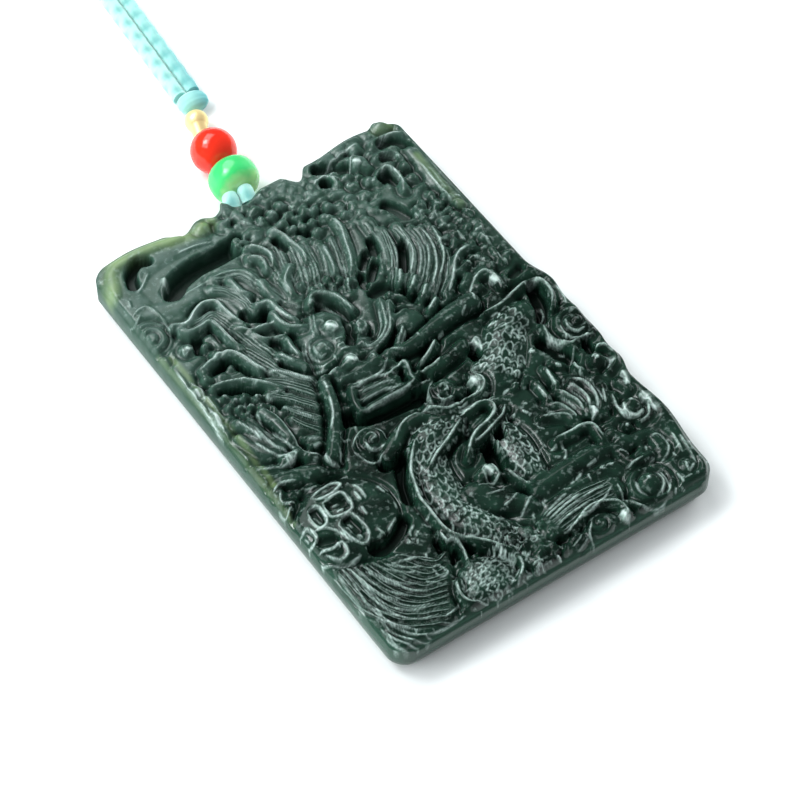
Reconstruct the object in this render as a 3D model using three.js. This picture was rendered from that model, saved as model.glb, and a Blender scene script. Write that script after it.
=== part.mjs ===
// A carved jade pendant lying on its back: a thick plaque with a dragon in relief, and the doubled
// cord it hangs on, with three beads. Millimetres, X across the plaque, +Y towards the cord, +Z up.
import * as THREE from 'three';

// Plaque: outline and thicknesses
const PLAQUE_WIDTH = 42;
const PLAQUE_LENGTH = 61.8;
const RIM_HEIGHT = 3.7;           // plain polished wall along the left and the bottom
const EDGE_RISE = 0.6;            // how much higher the carved edge stands along the top and the right
const GROUND_HEIGHT = 4.3;        // general level of the carving
const BACK_EDGE = 0.4;            // rounding of the edge round the flat back
const CORNER = { topLeft: 3.2, topRight: 1.4, bottomLeft: 1.6, bottomRight: 3.2 };
const GRID = { columns: 46, rows: 64 };

// Beads, in line above the plaque's top edge
const GREEN_BEAD = { at: [0.62, 34.12], width: 6.0, length: 4.3 };
const RED_BEAD = { at: [1.18, 39.25], diameter: 5.5 };
const GOLD_BEAD = { at: [2.62, 45.4], diameter: 2.8, collar: 1.9, collarLength: 1.6 };

// Cord: two strands side by side, and the coil of the length that lies further off
const CORD = 1.85;
const STRAND_GAP = 0.12;
const LOOP_CORD = 1.9;
const KNOT = { at: [3.95, 48.35], width: 3.9, length: 2.6, height: 2.4 };
const STRAND_END = [5.86, 74.0];  // where the strands begin to part for the coil
const COIL = { at: [6.71, 92.8], middle: 9.8, columns: 5, layers: 2 };
const TIE = { width: 2.6, thickness: 0.6 };

const HALF_W = PLAQUE_WIDTH / 2;
const HALF_L = PLAQUE_LENGTH / 2;
const GAP = 0.3;                  // between pieces that touch

const clamp = (v, low = 0, high = 1) => Math.min(high, Math.max(low, v));
const smooth = (v) => { const t = clamp(v); return t * t * (3 - 2 * t); };
const hump = (v) => (Math.abs(v) < 1 ? 0.5 + 0.5 * Math.cos(Math.PI * v) : 0);

// Outline

// Carved clouds swell and nip the plaque's edges: place along the edge, half-width, height
const TOP_SWELLS = [[-15.5, 5.5, 0.5], [-9.1, 2.4, -1.0], [-4.8, 1.5, -0.6], [-3, 0.9, 0.9], [-0.9, 3, -1.0],
  [6.1, 1.8, -1.6], [14.5, 6, 0.7], [18.2, 1.5, 0.8]];
const RIGHT_SWELLS = [[0.4, 4.2, 1.0], [-4.6, 4.4, 0.8], [-8.6, 3.4, 0.7], [-12.4, 3, 0.65]];
const TOP_INSET = 0.8;            // the plain edges between the swells lie this far in
const RIGHT_INSET = 0.55;
const swell = (list, at) => list.reduce((sum, [place, half, high]) => sum + high * hump((at - place) / half), 0);

/** The farthest x on one side (-1 left, +1 right) at height y, with the corners rounded off. */
function sideAt(y, side) {
  const top = side < 0 ? CORNER.topLeft : CORNER.topRight;
  const bottom = side < 0 ? CORNER.bottomLeft : CORNER.bottomRight;
  const radius = y > 0 ? top : bottom;
  const into = Math.max(0, Math.abs(y) - (HALF_L - radius));
  const corner = radius - Math.sqrt(Math.max(0, radius * radius - into * into));
  const bulge = side > 0 ? swell(RIGHT_SWELLS, y) - RIGHT_INSET : 0;
  return side * (HALF_W - corner + bulge);
}

/** Grid place to plan place: u and v run from -1 to 1 across and along the plaque. */
function place(u, v) {
  const y = v * HALF_L;
  const middle = 0.5 * (sideAt(y, -1) + sideAt(y, 1));
  const x = middle + 0.5 * u * (sideAt(y, 1) - sideAt(y, -1));
  const top = swell(TOP_SWELLS, x) - TOP_INSET;
  return [x, y + top * smooth((y - HALF_L + 5) / 5)];
}

// Relief: each motif takes a place and the height there so far, and gives the new height

/** A smooth line through a few points, able to find its nearest place to a point. */
function line(points) {
  const curve = new THREE.SplineCurve(points.map(([x, y]) => new THREE.Vector2(x, y)));
  const path = curve.getPoints(5 * (points.length - 1));
  return (x, y) => {
    let best = { distance: Infinity, along: 0 };
    for (let i = 1; i < path.length; i += 1) {
      const a = path[i - 1];
      const dx = path[i].x - a.x;
      const dy = path[i].y - a.y;
      const t = clamp(((x - a.x) * dx + (y - a.y) * dy) / (dx * dx + dy * dy || 1));
      const distance = Math.hypot(x - a.x - t * dx, y - a.y - t * dy);
      if (distance < best.distance) best = { distance, along: (i - 1 + t) / (path.length - 1) };
    }
    return best;
  };
}

/** Rounded stock laid over the height so far: full inside its radius, with soft flanks and a cut beside. */
function raised(z, distance, radius, top, drop, moat) {
  const reach = distance / radius;
  if (reach > 1.3) return z - moat * hump((distance - 1.15 * radius) / 1.1);
  const stock = top - drop * reach * reach;
  return Math.max(z, z + (stock - z) * (1 - smooth((reach - 0.75) / 0.55)));
}

/** A rounded band along a line: locks, limbs, whiskers and cloud edges. */
function ridge(points, start, end, top, drop = 1.2, moat = 0.5) {
  const nearest = line(points);
  return (x, y, z) => {
    const { distance, along } = nearest(x, y);
    return raised(z, distance, start + (end - start) * along, top, drop, moat);
  };
}

/** A sunk hollow along a line. */
function hollow(points, radius, floor) {
  const nearest = line(points);
  return (x, y, z) => {
    const { distance } = nearest(x, y);
    return z + (Math.min(z, floor) - z) * smooth(1.6 * (1 - distance / (radius + 0.5)));
  };
}

/** A domed ball or pearl. */
function ball(cx, cy, radius, top, drop = radius * 0.8, moat = 0.6) {
  return (x, y, z) => raised(z, Math.hypot(x - cx, y - cy), radius, top, drop, moat);
}

/** A cloud whorl: a ring round a small ball. */
function whorl(cx, cy, radius, top) {
  const pearl = ball(cx, cy, radius * 0.36, top, 0.4, 0.7);
  return (x, y, z) => {
    const distance = Math.hypot(x - cx, y - cy);
    if (distance > radius + 0.8) return z;
    const ring = top - 0.9 * ((distance - radius * 0.78) / (radius * 0.3)) ** 2;
    return pearl(x, y, Math.max(Math.min(z, top - 0.8), ring));
  };
}

/** Grooved water: rings of wave lines round a centre, within a span of radii and a side of a line. */
function waves(cx, cy, inner, outer, pitch, depth, keep) {
  return (x, y, z) => {
    const distance = Math.hypot(x - cx, y - cy);
    if (distance < inner || distance > outer || !keep(x, y)) return z;
    return z + depth * Math.cos((2 * Math.PI * distance) / pitch);
  };
}

const CLOUDS = [
  ridge([[-20.6, 24], [-19.5, 28], [-15.5, 29], [-9.5, 28]], 1.5, 1.3, 5.0, 1.0),
  ridge([[-18.6, 23.4], [-14.5, 25.4], [-8, 26.2]], 0.9, 0.8, 4.9, 0.7),
  hollow([[-18.3, 25], [-16.2, 26.7]], 0.6, 3.0),
  hollow([[-15.3, 22.4], [-12, 23.6], [-8, 24.1], [-5.2, 25.2]], 1.1, 2.5),
  ball(-7.2, 28.4, 1.5, 5.0),
  whorl(-19.4, 18.4, 2.7, 5.0),
  ridge([[-20.3, 13], [-20.4, 4], [-20.2, -9]], 0.6, 0.6, 4.2, 0.4, 0.4),
  ridge([[12.2, 21], [12.9, 25], [15.4, 26.6], [17.6, 25], [17.4, 21.6]], 0.9, 0.8, 5.4, 0.9),
  ridge([[14.2, 20.6], [14.8, 24.2], [16.2, 22]], 0.9, 0.7, 5.0, 0.8),
  ball(13, 27.6, 1.3, 5.2),
  ball(9.6, 28.6, 1.6, 4.9),
  ball(18.4, 29.2, 1.4, 4.8),
  hollow([[7.8, 25.8], [8.8, 27]], 0.7, 3.2),
  ridge([[19.2, 24.5], [19, 20], [19.1, 15.5]], 0.8, 0.8, 4.7, 0.7),
  hollow([[12, 18.6], [15.5, 19]], 0.7, 3.3),
  ridge([[12, 0.1], [15.5, 1], [18.8, 1.3], [20, -0.6], [19.7, -3]], 0.6, 0.9, 5.3, 0.8),
  hollow([[18.6, -0.6], [18.4, -2]], 0.6, 3.0),
  whorl(19.2, -6, 3.3, 5.1),
  ridge([[17.4, -9], [15.9, -11], [16.4, -13.4]], 0.6, 0.6, 4.9, 0.7),
  ball(18.4, -11.6, 1.2, 5.2),
  ridge([[16.8, -15.4], [18, -13.6], [19.8, -13.4]], 0.7, 0.7, 4.8, 0.7),
  ball(17.9, -18.6, 1.4, 5.4),
  ridge([[16.4, -17.4], [16.6, -20.3], [19, -20.4]], 0.5, 0.6, 4.7, 0.7),
];

const LEFT_MANE = [
  ridge([[-9.4, 9], [-10.8, 14], [-11.4, 18], [-12.9, 19.6], [-14.8, 18.4], [-17.4, 18]], 1.2, 0.7, 5.4, 0.9),
  ridge([[-9.8, 8], [-12.4, 13], [-12.8, 16.2], [-14.3, 17], [-16.7, 16.6]], 1.2, 0.8, 5.5, 0.9),
  ridge([[-9.6, 5.6], [-12.6, 9.6], [-14.4, 11.4], [-16.4, 12], [-18.6, 11.4]], 1.3, 0.7, 5.4, 0.9),
  ridge([[-9, 4], [-12, 6], [-15, 7.8], [-17.6, 9]], 1.3, 0.6, 5.3, 0.9),
  ridge([[-9.2, 2.4], [-12, 2.4], [-14, 3.8]], 1.4, 0.8, 5.2, 0.8),
  hollow([[-18, 10.4], [-15.2, 10.2]], 0.7, 3.2),
  hollow([[-18.6, 7.6], [-18.2, 5.2]], 0.6, 3.2),
  hollow([[-16.8, 15], [-14.4, 14.6]], 0.7, 3.2),
];

const CROWN = [
  ridge([[-9, 15.6], [-9.2, 19], [-9.6, 22]], 0.8, 0.5, 5.2, 0.8),
  ridge([[-6, 14], [-6.8, 18], [-7, 21.5]], 1.3, 0.9, 5.3, 0.8),
  ridge([[-3.6, 14.5], [-4.2, 19], [-3.6, 23]], 1.3, 0.8, 5.3, 0.8),
  ridge([[-1, 15], [-0.8, 19.5], [-1, 24]], 1.3, 0.8, 5.4, 0.8),
  ridge([[1.4, 14.4], [2.2, 18.5], [1.6, 23]], 1.3, 0.8, 5.3, 0.8),
  ridge([[3.6, 14], [4.8, 17.5], [5.2, 21.6]], 1.2, 0.8, 5.3, 0.8),
  ridge([[3, 11], [6.6, 13.6], [9.3, 18.6]], 1.3, 1.1, 5.4, 0.9),
  ridge([[5, 9.6], [9.4, 12.6], [11.5, 16.6]], 1.2, 1.1, 5.5, 0.9),
  ridge([[7, 8], [12, 11], [13.9, 15]], 1.2, 1.0, 5.5, 0.9),
  ridge([[9, 6.2], [13, 8.3], [16.2, 9.6]], 1.2, 0.9, 5.4, 0.9),
  ridge([[12.5, 5], [15.5, 5], [16.6, 2.6]], 0.9, 0.7, 5.1, 0.7),
  hollow([[4.2, 12], [6.8, 12.2]], 0.6, 3.6),
];

const HEAD = [
  ridge([[-3.4, 9], [-3.2, 5], [-3.2, 2]], 3.6, 4.2, 6.3, 1.6, 0.8),
  ridge([[-4.4, 9.6], [-2.2, 12.7], [-0.2, 9.4]], 0.8, 0.8, 6.2, 0.6, 0.3),
  ball(-3.3, 8.6, 1.1, 6.8),
  ball(-6.1, 6.6, 1.5, 6.4, 0.8, 0.7),
  ball(-0.1, 6.8, 1.4, 6.4, 0.8, 0.7),
  ridge([[-9.4, 8], [-8.6, 5.6], [-6.6, 4.6]], 0.7, 0.6, 5.9, 0.6),
  ridge([[-1.4, 4.8], [1.6, 5.2], [3.8, 8.4]], 0.8, 0.8, 6.1, 0.7),
  ball(-3.4, 3.1, 1.5, 7.0, 0.9, 0.3),
  ball(-5.7, 2.6, 1.2, 6.4, 0.7, 0.2),
  ball(-1.3, 2.4, 1.2, 6.4, 0.7, 0.2),
  ridge([[-6.6, 1.6], [-3.2, 0.6], [0.2, 1.5]], 0.8, 0.8, 6.4, 0.7, 0.6),
  hollow([[-6.6, -1.6], [-0.4, -1.4]], 0.8, 4.0),
  ridge([[-7.4, -0.2], [-7.4, -2.8], [-3.5, -3.2], [0.4, -2.8], [0.8, -0.4]], 0.6, 0.6, 5.7, 0.6, 0.4),
  ridge([[-5.8, -2], [-1, -1.9]], 0.6, 0.6, 5.3, 0.5, 0.2),
  hollow([[-9, -4.4], [-4, -4.6], [0.2, -4.4]], 0.7, 2.9),
  ridge([[-7.7, 2.2], [-9.4, -1.4], [-11.8, -4.4], [-12.9, -6.4]], 0.9, 0.9, 6.2, 0.9, 0.8),
  ridge([[0.6, 1.9], [3, 1.5], [6, 2], [9, 3], [12, 3.4]], 0.7, 1.5, 6.3, 1.0, 0.8),
  ridge([[2.2, -1.2], [5, -0.2], [7, 1]], 0.5, 0.5, 5.4, 0.5),
  ridge([[2, -2.2], [5, -2.5], [7.4, -1.6]], 0.8, 1.2, 5.5, 0.9),
  hollow([[7.8, 0], [10.5, -0.2]], 0.6, 3.0),
];

const LEFT_PAW = [
  ridge([[-20, -5], [-16, -5.6], [-13, -7.6]], 1.2, 1.5, 4.9, 1.0),
  ridge([[-19.8, 1.6], [-18.8, -2], [-16.4, -3.8]], 0.6, 0.8, 5.2, 0.8),
  ridge([[-18, 3], [-17.2, 0], [-16.2, -3.5]], 0.6, 0.8, 5.4, 0.8),
  ridge([[-16.2, 3], [-15.9, 0], [-15.6, -3.4]], 0.6, 0.8, 5.5, 0.8),
  ridge([[-14.6, 2.8], [-14.4, -1], [-15.2, -3.6]], 0.6, 0.8, 5.4, 0.8),
  ridge([[-20.4, -3], [-17, -4]], 0.6, 0.7, 5.0, 0.7),
  ridge([[-13.3, -4.6], [-15, -3.8]], 0.6, 0.7, 5.2, 0.7),
];

const COIN = [
  ball(-15.8, -13.8, 5.2, 5.4, 1.3, 0.9),
  ridge([[-19, -10.6], [-17.7, -11.8], [-17.8, -13.6], [-19, -13.4], [-19, -10.6]], 0.4, 0.4, 5.6, 0.4, 0.2),
  ridge([[-17, -10.8], [-14.6, -10.8], [-14.6, -13.4], [-17, -13.4], [-17, -10.8]], 0.4, 0.4, 5.8, 0.4, 0.2),
  ridge([[-16.9, -14.2], [-14.7, -14.2], [-15.6, -17.4], [-16.9, -16], [-16.9, -14.2]], 0.4, 0.4, 5.7, 0.4, 0.2),
  ridge([[-20.4, -16], [-18.6, -15], [-18.2, -17.4], [-20.2, -16.4]], 0.5, 0.5, 5.0, 0.4, 0.2),
  hollow([[-12, -18.8], [-16, -19.8], [-19.4, -19]], 0.7, 3.2),
];

const BODY = [
  ridge([[8.5, -2.6], [12, -2.6], [15.6, -2]], 2.0, 2.0, 5.1, 1.0),
  ridge([[15, -3.4], [12, -6], [8.6, -8]], 2.2, 2.2, 5.0, 1.0),
  hollow([[13.4, -8], [15.2, -7]], 0.8, 2.9),
  ridge([[1, -9.4], [-3.4, -10.6], [-5.8, -14], [-6, -19], [-4.6, -24], [-1.4, -28.4]], 2.4, 2.2, 5.7, 1.4, 0.7),
  ridge([[3.6, -11.6], [4.6, -15.4], [3.8, -20]], 2.2, 1.9, 5.5, 1.2, 0.7),
  hollow([[-0.6, -15.4], [0.6, -17.2]], 0.9, 2.8),
  ridge([[-1.6, -20], [0.6, -21], [2.8, -22.6]], 2.0, 1.3, 5.2, 1.0),
  ridge([[-4.8, -10], [-7.2, -13.4], [-8.4, -18], [-7.9, -21.6], [-6, -24.6], [-4, -27]], 0.5, 0.5, 5.6, 0.5, 0.2),
  ridge([[-6.8, -14.2], [-3, -12], [1.8, -10.4], [5.2, -10.4]], 0.5, 0.6, 6.0, 0.6),
  ridge([[5.4, -10.6], [2.2, -12.2], [-0.4, -13.8], [-1.6, -15.4]], 0.6, 0.5, 5.9, 0.6),
  whorl(-7.7, -6.7, 2.2, 5.5),
  whorl(2.3, -5.8, 2.3, 5.6),
  ridge([[-9.2, -9], [-6, -8.8], [-3, -7.2], [0, -7.6], [2.6, -8.6], [6.6, -8]], 0.9, 0.8, 5.6, 0.8),
];

const RIGHT_PAW = [
  ridge([[5, -21.6], [9, -20.6], [12.6, -20.6]], 1.4, 1.5, 4.9, 1.0),
  ridge([[8.6, -15], [11.2, -16.8]], 0.6, 0.8, 5.2, 0.8),
  ridge([[10.2, -13.4], [11.8, -16.6]], 0.7, 0.8, 5.4, 0.8),
  ridge([[12.2, -12.6], [12.7, -16.8]], 0.7, 0.8, 5.5, 0.8),
  ridge([[14.2, -12.6], [13.6, -16.9]], 0.7, 0.8, 5.5, 0.8),
  ridge([[15.8, -13], [14.6, -17.2]], 0.7, 0.8, 5.3, 0.8),
  ridge([[7.6, -20.2], [10.4, -18.7], [12.2, -18.3], [12.8, -20.4]], 0.6, 0.6, 5.5, 0.7),
  ridge([[11, -10.4], [11.3, -12]], 0.6, 0.6, 5.0, 0.7),
  ridge([[13, -9.8], [13.2, -12]], 0.6, 0.6, 5.0, 0.7),
  ridge([[14.8, -10], [14.6, -12]], 0.6, 0.6, 5.0, 0.7),
  hollow([[7.6, -13], [7.4, -17.4]], 0.7, 3.0),
];

const WATER = [
  waves(-10.4, -21, 4.6, 11, 1.9, 0.18, (x, y) => x < -10 && y < -20),
  ridge([[-11.4, -26.8], [-11.3, -29.4], [-8, -31], [-4.6, -29.8], [-4.2, -27]], 0.5, 0.5, 5.0, 0.5),
  ball(-8, -28, 2.8, 5.0, 0.8, 0.3),
  hollow([[4, -22.8], [9.6, -23]], 0.5, 3.0),
  ridge([[1.4, -25.2], [5, -24.8], [9, -23.8]], 0.6, 0.6, 4.9, 0.5, 0.2),
  ridge([[1.6, -27], [5, -26.6], [9.4, -25.6]], 0.6, 0.6, 4.9, 0.5, 0.2),
  ridge([[1.8, -28.8], [5, -27.8], [8.4, -28], [9.3, -29.6], [8.2, -30.6]], 0.6, 0.8, 5.1, 0.6),
  whorl(6, -30, 1.8, 4.8),
  whorl(13, -28.2, 3.0, 5.3),
  ridge([[11.4, -22.2], [14.6, -23.6], [18.6, -22.4]], 1.2, 1.2, 4.9, 0.9),
  ridge([[14.6, -25.6], [17, -25.8], [18.4, -24.6]], 0.7, 0.6, 4.8, 0.6),
  ridge([[19.3, -24], [19, -27], [19.2, -29.4]], 0.6, 0.6, 4.5, 0.5),
  ridge([[16.2, -28.4], [17.8, -28.6]], 0.6, 0.6, 4.6, 0.5),
];

const MOTIFS = [CLOUDS, LEFT_MANE, CROWN, BODY, LEFT_PAW, RIGHT_PAW, COIN, WATER, HEAD].flat();

/** Height of the carved face: every motif in turn, settling to the plain rim at the edge. */
function faceHeight(u, v) {
  const [x, y] = place(u, v);
  const carved = MOTIFS.reduce((z, motif) => motif(x, y, z), GROUND_HEIGHT);
  const inside = Math.min(HALF_W * (1 - Math.abs(u)), HALF_L * (1 - Math.abs(v)));
  const carvedEdge = Math.max(smooth((u - 0.6) / 0.35) * smooth((v + 1) / 0.4), smooth((v - 0.85) / 0.12));
  const rim = RIM_HEIGHT + EDGE_RISE * carvedEdge;
  return rim + (carved - rim) * smooth(inside / 1.2);
}

/** The plaque: the carved face over a straight wall and a flat back with a rounded edge. */
function plaqueGeometry() {
  const vertices = [];
  const faces = [];
  const ends = [0.004, 0.016, 0.036];      // extra rows that follow the corners' rounding
  const steps = Array.from({ length: GRID.rows + 1 }, (_, j) => -1 + (2 * j) / GRID.rows);
  const rows = [...steps, ...ends.flatMap((e) => [-1 + e, 1 - e])].sort((a, b) => a - b);
  const columns = Array.from({ length: GRID.columns + 1 }, (_, i) => -1 + (2 * i) / GRID.columns);
  const add = (x, y, z) => vertices.push(x, y, z) / 3 - 1;
  const face = rows.map((v) => columns.map((u) => add(...place(u, v), faceHeight(u, v))));
  for (let j = 1; j < rows.length; j += 1) {
    for (let i = 1; i < columns.length; i += 1) {
      const [a, b, c, d] = [face[j - 1][i - 1], face[j - 1][i], face[j][i], face[j][i - 1]];
      faces.push(...((i + j) % 2 ? [a, b, c, a, c, d] : [a, b, d, b, c, d]));
    }
  }
  const rim = [...face[0], ...face.slice(1, -1).map((row) => row.at(-1)),
    ...face.at(-1).slice().reverse(), ...face.slice(1, -1).reverse().map((row) => row[0])];
  const lower = (inset, height) => rim.map((index) => {
    const [x, y] = vertices.slice(3 * index, 3 * index + 2);
    return add(x * (1 - inset / HALF_W), y * (1 - inset / HALF_L), height);
  });
  const rings = [rim, lower(0, BACK_EDGE), lower(BACK_EDGE, 0)];
  const middle = add(0, 0, 0);
  rim.forEach((_, k) => {
    const next = (k + 1) % rim.length;
    for (let r = 1; r < rings.length; r += 1) {
      const [a, b, c, d] = [rings[r - 1][k], rings[r - 1][next], rings[r][next], rings[r][k]];
      faces.push(a, c, b, a, d, c);
    }
    faces.push(rings[2][k], middle, rings[2][next]);
  });
  const geometry = new THREE.BufferGeometry();
  geometry.setAttribute('position', new THREE.Float32BufferAttribute(vertices, 3));
  geometry.setIndex(faces);
  geometry.computeVertexNormals();
  return geometry;
}

// Beads

/** A bead turned round the string's direction, laid on the surface at its plan place. */
function beadMesh(name, profile, [x, y], height, towards, material) {
  const points = profile.map(([r, along]) => new THREE.Vector2(r, along));
  const mesh = new THREE.Mesh(new THREE.LatheGeometry(points, 18), material);
  mesh.name = name;
  mesh.position.set(x, y, height);
  const string = new THREE.Vector3(towards[0] - x, towards[1] - y, 0).normalize();
  mesh.quaternion.setFromUnitVectors(new THREE.Vector3(0, 1, 0), string);
  return mesh;
}

/** Half outline of a round or flattened bead, from pole to pole. */
function roundProfile(radius, halfLength, steps = 10) {
  return Array.from({ length: steps + 1 }, (_, k) => {
    const angle = -Math.PI / 2 + (Math.PI * k) / steps;
    return [k === 0 || k === steps ? 0 : radius * Math.cos(angle), halfLength * Math.sin(angle)];
  });
}

// Cord

/** A plain tube of cord along a few points. */
function cordMesh(name, points, diameter, steps, material) {
  const section = new THREE.Shape();
  for (let k = 0; k < 8; k += 1) {
    const angle = (2 * Math.PI * k) / 8;
    const at = [0.5 * diameter * Math.cos(angle), 0.5 * diameter * Math.sin(angle)];
    if (k) section.lineTo(...at); else section.moveTo(...at);
  }
  section.closePath();
  const path = new THREE.CatmullRomCurve3(points.map((p) => new THREE.Vector3(...p)), false, 'centripetal');
  const mesh = new THREE.Mesh(new THREE.ExtrudeGeometry(section, { steps, extrudePath: path }), material);
  mesh.name = name;
  return mesh;
}

/** One strand's route from the knot: straight, then parting towards the coil's outer turn. */
function strandRoute(side) {
  const beside = 0.5 * (CORD + STRAND_GAP) * side;
  const high = 0.5 * CORD + 0.02;
  const start = [KNOT.at[0] + 0.1 + beside, KNOT.at[1] + 0.5 * KNOT.length + GAP];
  const end = [STRAND_END[0] + beside, STRAND_END[1]];
  const straight = [0, 0.25, 0.5, 0.75, 0.93].map((t) => [
    start[0] + (end[0] - start[0]) * t, start[1] + (end[1] - start[1]) * t, high]);
  const outer = COIL.middle + 0.5 * (COIL.columns - 1) * CORD;
  const [dx, dy] = [COIL.at[0] - end[0], COIL.at[1] - end[1]];
  const heading = Math.atan2(dy, dx) - side * Math.asin(outer / Math.hypot(dx, dy));
  const clear = outer + CORD + GAP;
  const free = Math.sqrt(dx * dx + dy * dy - outer * outer) - Math.sqrt(clear * clear - outer * outer);
  const parted = [0.35, 0.7, 1].map((t) => [
    end[0] + free * t * Math.cos(heading), end[1] + free * t * Math.sin(heading), high]);
  return [...straight, ...parted];
}

/** The ring that the coiled cord fills. */
function coilMesh(material) {
  const half = 0.5 * COIL.columns * CORD;
  const high = COIL.layers * CORD + 0.05;
  const profile = [[COIL.middle - half, 0.02], [COIL.middle + half, 0.02], [COIL.middle + half, high],
    [COIL.middle - half, high], [COIL.middle - half, 0.02]];
  const mesh = new THREE.Mesh(new THREE.LatheGeometry(profile.map(([r, z]) => new THREE.Vector2(r, z)), 40), material);
  mesh.name = 'cord_coil';
  mesh.rotation.x = Math.PI / 2;
  mesh.position.set(...COIL.at, 0);
  return mesh;
}

/** A band over the coil, its two ends on the surface. */
function tieMesh(material) {
  const inside = 0.5 * COIL.columns * CORD + GAP;
  const over = COIL.layers * CORD + 0.05 + GAP;
  const out = inside + TIE.thickness;
  const band = new THREE.Shape([[-out, 0.02], [-inside, 0.02], [-inside, over], [inside, over], [inside, 0.02],
    [out, 0.02], [out, over + TIE.thickness], [-out, over + TIE.thickness]].map(([x, y]) => new THREE.Vector2(x, y)));
  const mesh = new THREE.Mesh(new THREE.ExtrudeGeometry(band, { depth: TIE.width, bevelEnabled: false }), material);
  mesh.name = 'coil_tie';
  mesh.quaternion.setFromRotationMatrix(new THREE.Matrix4().makeBasis(
    new THREE.Vector3(0, 1, 0), new THREE.Vector3(0, 0, 1), new THREE.Vector3(1, 0, 0)));
  mesh.position.set(COIL.at[0] - 0.5 * TIE.width, COIL.at[1] + COIL.middle, 0);
  return mesh;
}

const jade = new THREE.MeshStandardMaterial({ name: 'jade', color: 0x2c4336, roughness: 0.28 });
const greenGlass = new THREE.MeshStandardMaterial({ name: 'green_bead', color: 0x35c45c, roughness: 0.15 });
const redGlass = new THREE.MeshStandardMaterial({ name: 'red_bead', color: 0xe0301c, roughness: 0.15 });
const gold = new THREE.MeshStandardMaterial({ name: 'gold', color: 0xc99a3e, roughness: 0.25, metalness: 1 });
const mintCord = new THREE.MeshStandardMaterial({ name: 'cord', color: 0xa9e4de, roughness: 0.8 });

const pendant = new THREE.Group();
pendant.name = 'jade_pendant';

const plaque = new THREE.Mesh(plaqueGeometry(), jade);
plaque.name = 'plaque';
pendant.add(plaque);

pendant.add(beadMesh('bead_green', roundProfile(0.5 * GREEN_BEAD.width, 0.5 * GREEN_BEAD.length),
  GREEN_BEAD.at, 0.5 * GREEN_BEAD.width + 0.02, RED_BEAD.at, greenGlass));
pendant.add(beadMesh('bead_red', roundProfile(0.5 * RED_BEAD.diameter, 0.5 * RED_BEAD.diameter),
  RED_BEAD.at, 0.5 * RED_BEAD.diameter + 0.02, GOLD_BEAD.at, redGlass));

const goldRadius = 0.5 * GOLD_BEAD.diameter;
const collarStart = -goldRadius - GOLD_BEAD.collarLength;
const goldBall = roundProfile(goldRadius, goldRadius).filter(([r, along]) => r > 0.5 * GOLD_BEAD.collar || along > 0);
pendant.add(beadMesh('bead_gold', [[0, collarStart], [0.5 * GOLD_BEAD.collar, collarStart], ...goldBall],
  GOLD_BEAD.at, goldRadius + 0.02, KNOT.at, gold));

const knot = beadMesh('cord_knot', roundProfile(0.5 * KNOT.width, 0.5 * KNOT.length, 8), KNOT.at,
  0.5 * KNOT.height + 0.02, STRAND_END, mintCord);
knot.scale.set(1, 1, KNOT.height / KNOT.width);
pendant.add(knot);

for (const [side, name] of [[-1, 'left'], [1, 'right']]) {
  const beside = 0.5 * (LOOP_CORD + STRAND_GAP) * side;
  const loop = [[-0.85 + beside, 30.3, 2.4], [-0.6 + beside, 31, 2.7], [-0.35 + beside, 31.55, 2.9]];
  pendant.add(cordMesh(`loop_strand_${name}`, loop, LOOP_CORD, 4, mintCord));
  pendant.add(cordMesh(`cord_strand_${name}`, strandRoute(side), CORD, 16, mintCord));
}
pendant.add(coilMesh(mintCord));
pendant.add(tieMesh(mintCord));

export default pendant;
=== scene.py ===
import math

import bpy
import numpy as np
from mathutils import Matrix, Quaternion, Vector


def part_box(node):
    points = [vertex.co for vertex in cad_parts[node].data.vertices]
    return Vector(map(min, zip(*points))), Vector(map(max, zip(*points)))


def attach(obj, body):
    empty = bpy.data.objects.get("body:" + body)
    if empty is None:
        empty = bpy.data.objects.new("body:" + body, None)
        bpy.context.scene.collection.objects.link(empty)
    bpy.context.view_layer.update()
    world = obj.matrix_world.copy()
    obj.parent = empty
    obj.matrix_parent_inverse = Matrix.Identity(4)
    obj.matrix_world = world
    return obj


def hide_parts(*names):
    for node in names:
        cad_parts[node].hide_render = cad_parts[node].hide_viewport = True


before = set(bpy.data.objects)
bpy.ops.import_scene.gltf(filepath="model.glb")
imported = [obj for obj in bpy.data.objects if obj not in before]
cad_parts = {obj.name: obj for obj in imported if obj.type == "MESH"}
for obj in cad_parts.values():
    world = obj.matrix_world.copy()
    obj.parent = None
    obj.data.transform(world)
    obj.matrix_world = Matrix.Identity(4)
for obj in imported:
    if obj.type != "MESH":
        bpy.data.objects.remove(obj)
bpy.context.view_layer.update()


# Camera: a long lens looks down on the pendant as it lies on its back, with the plaque's top edge
# at the picture's upper left and its lower right corner towards the picture's right.
MM = 0.001
VIEW_TURN = math.radians(34.516)
VIEW_DOWN = math.radians(52.72)
VIEW_DISTANCE = 331.77 * MM
VIEW_TARGET = Vector((-0.396, -1.254, 0)) * MM
PICTURE_PIXELS = 800
FOCAL_PIXELS = 3016.05
SENSOR = 36

camera = bpy.data.objects.new("camera", bpy.data.cameras.new("camera"))
bpy.context.scene.collection.objects.link(camera)
bpy.context.scene.camera = camera
looking = Vector((math.sin(VIEW_TURN) * math.cos(VIEW_DOWN),
                  math.cos(VIEW_TURN) * math.cos(VIEW_DOWN), -math.sin(VIEW_DOWN)))
camera.location = VIEW_TARGET - looking * VIEW_DISTANCE
camera.rotation_mode = "QUATERNION"
camera.rotation_quaternion = looking.to_track_quat("-Z", "Y")
camera.data.sensor_width = SENSOR
camera.data.lens = SENSOR * FOCAL_PIXELS / PICTURE_PIXELS
camera.data.clip_start = 0.01


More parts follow.
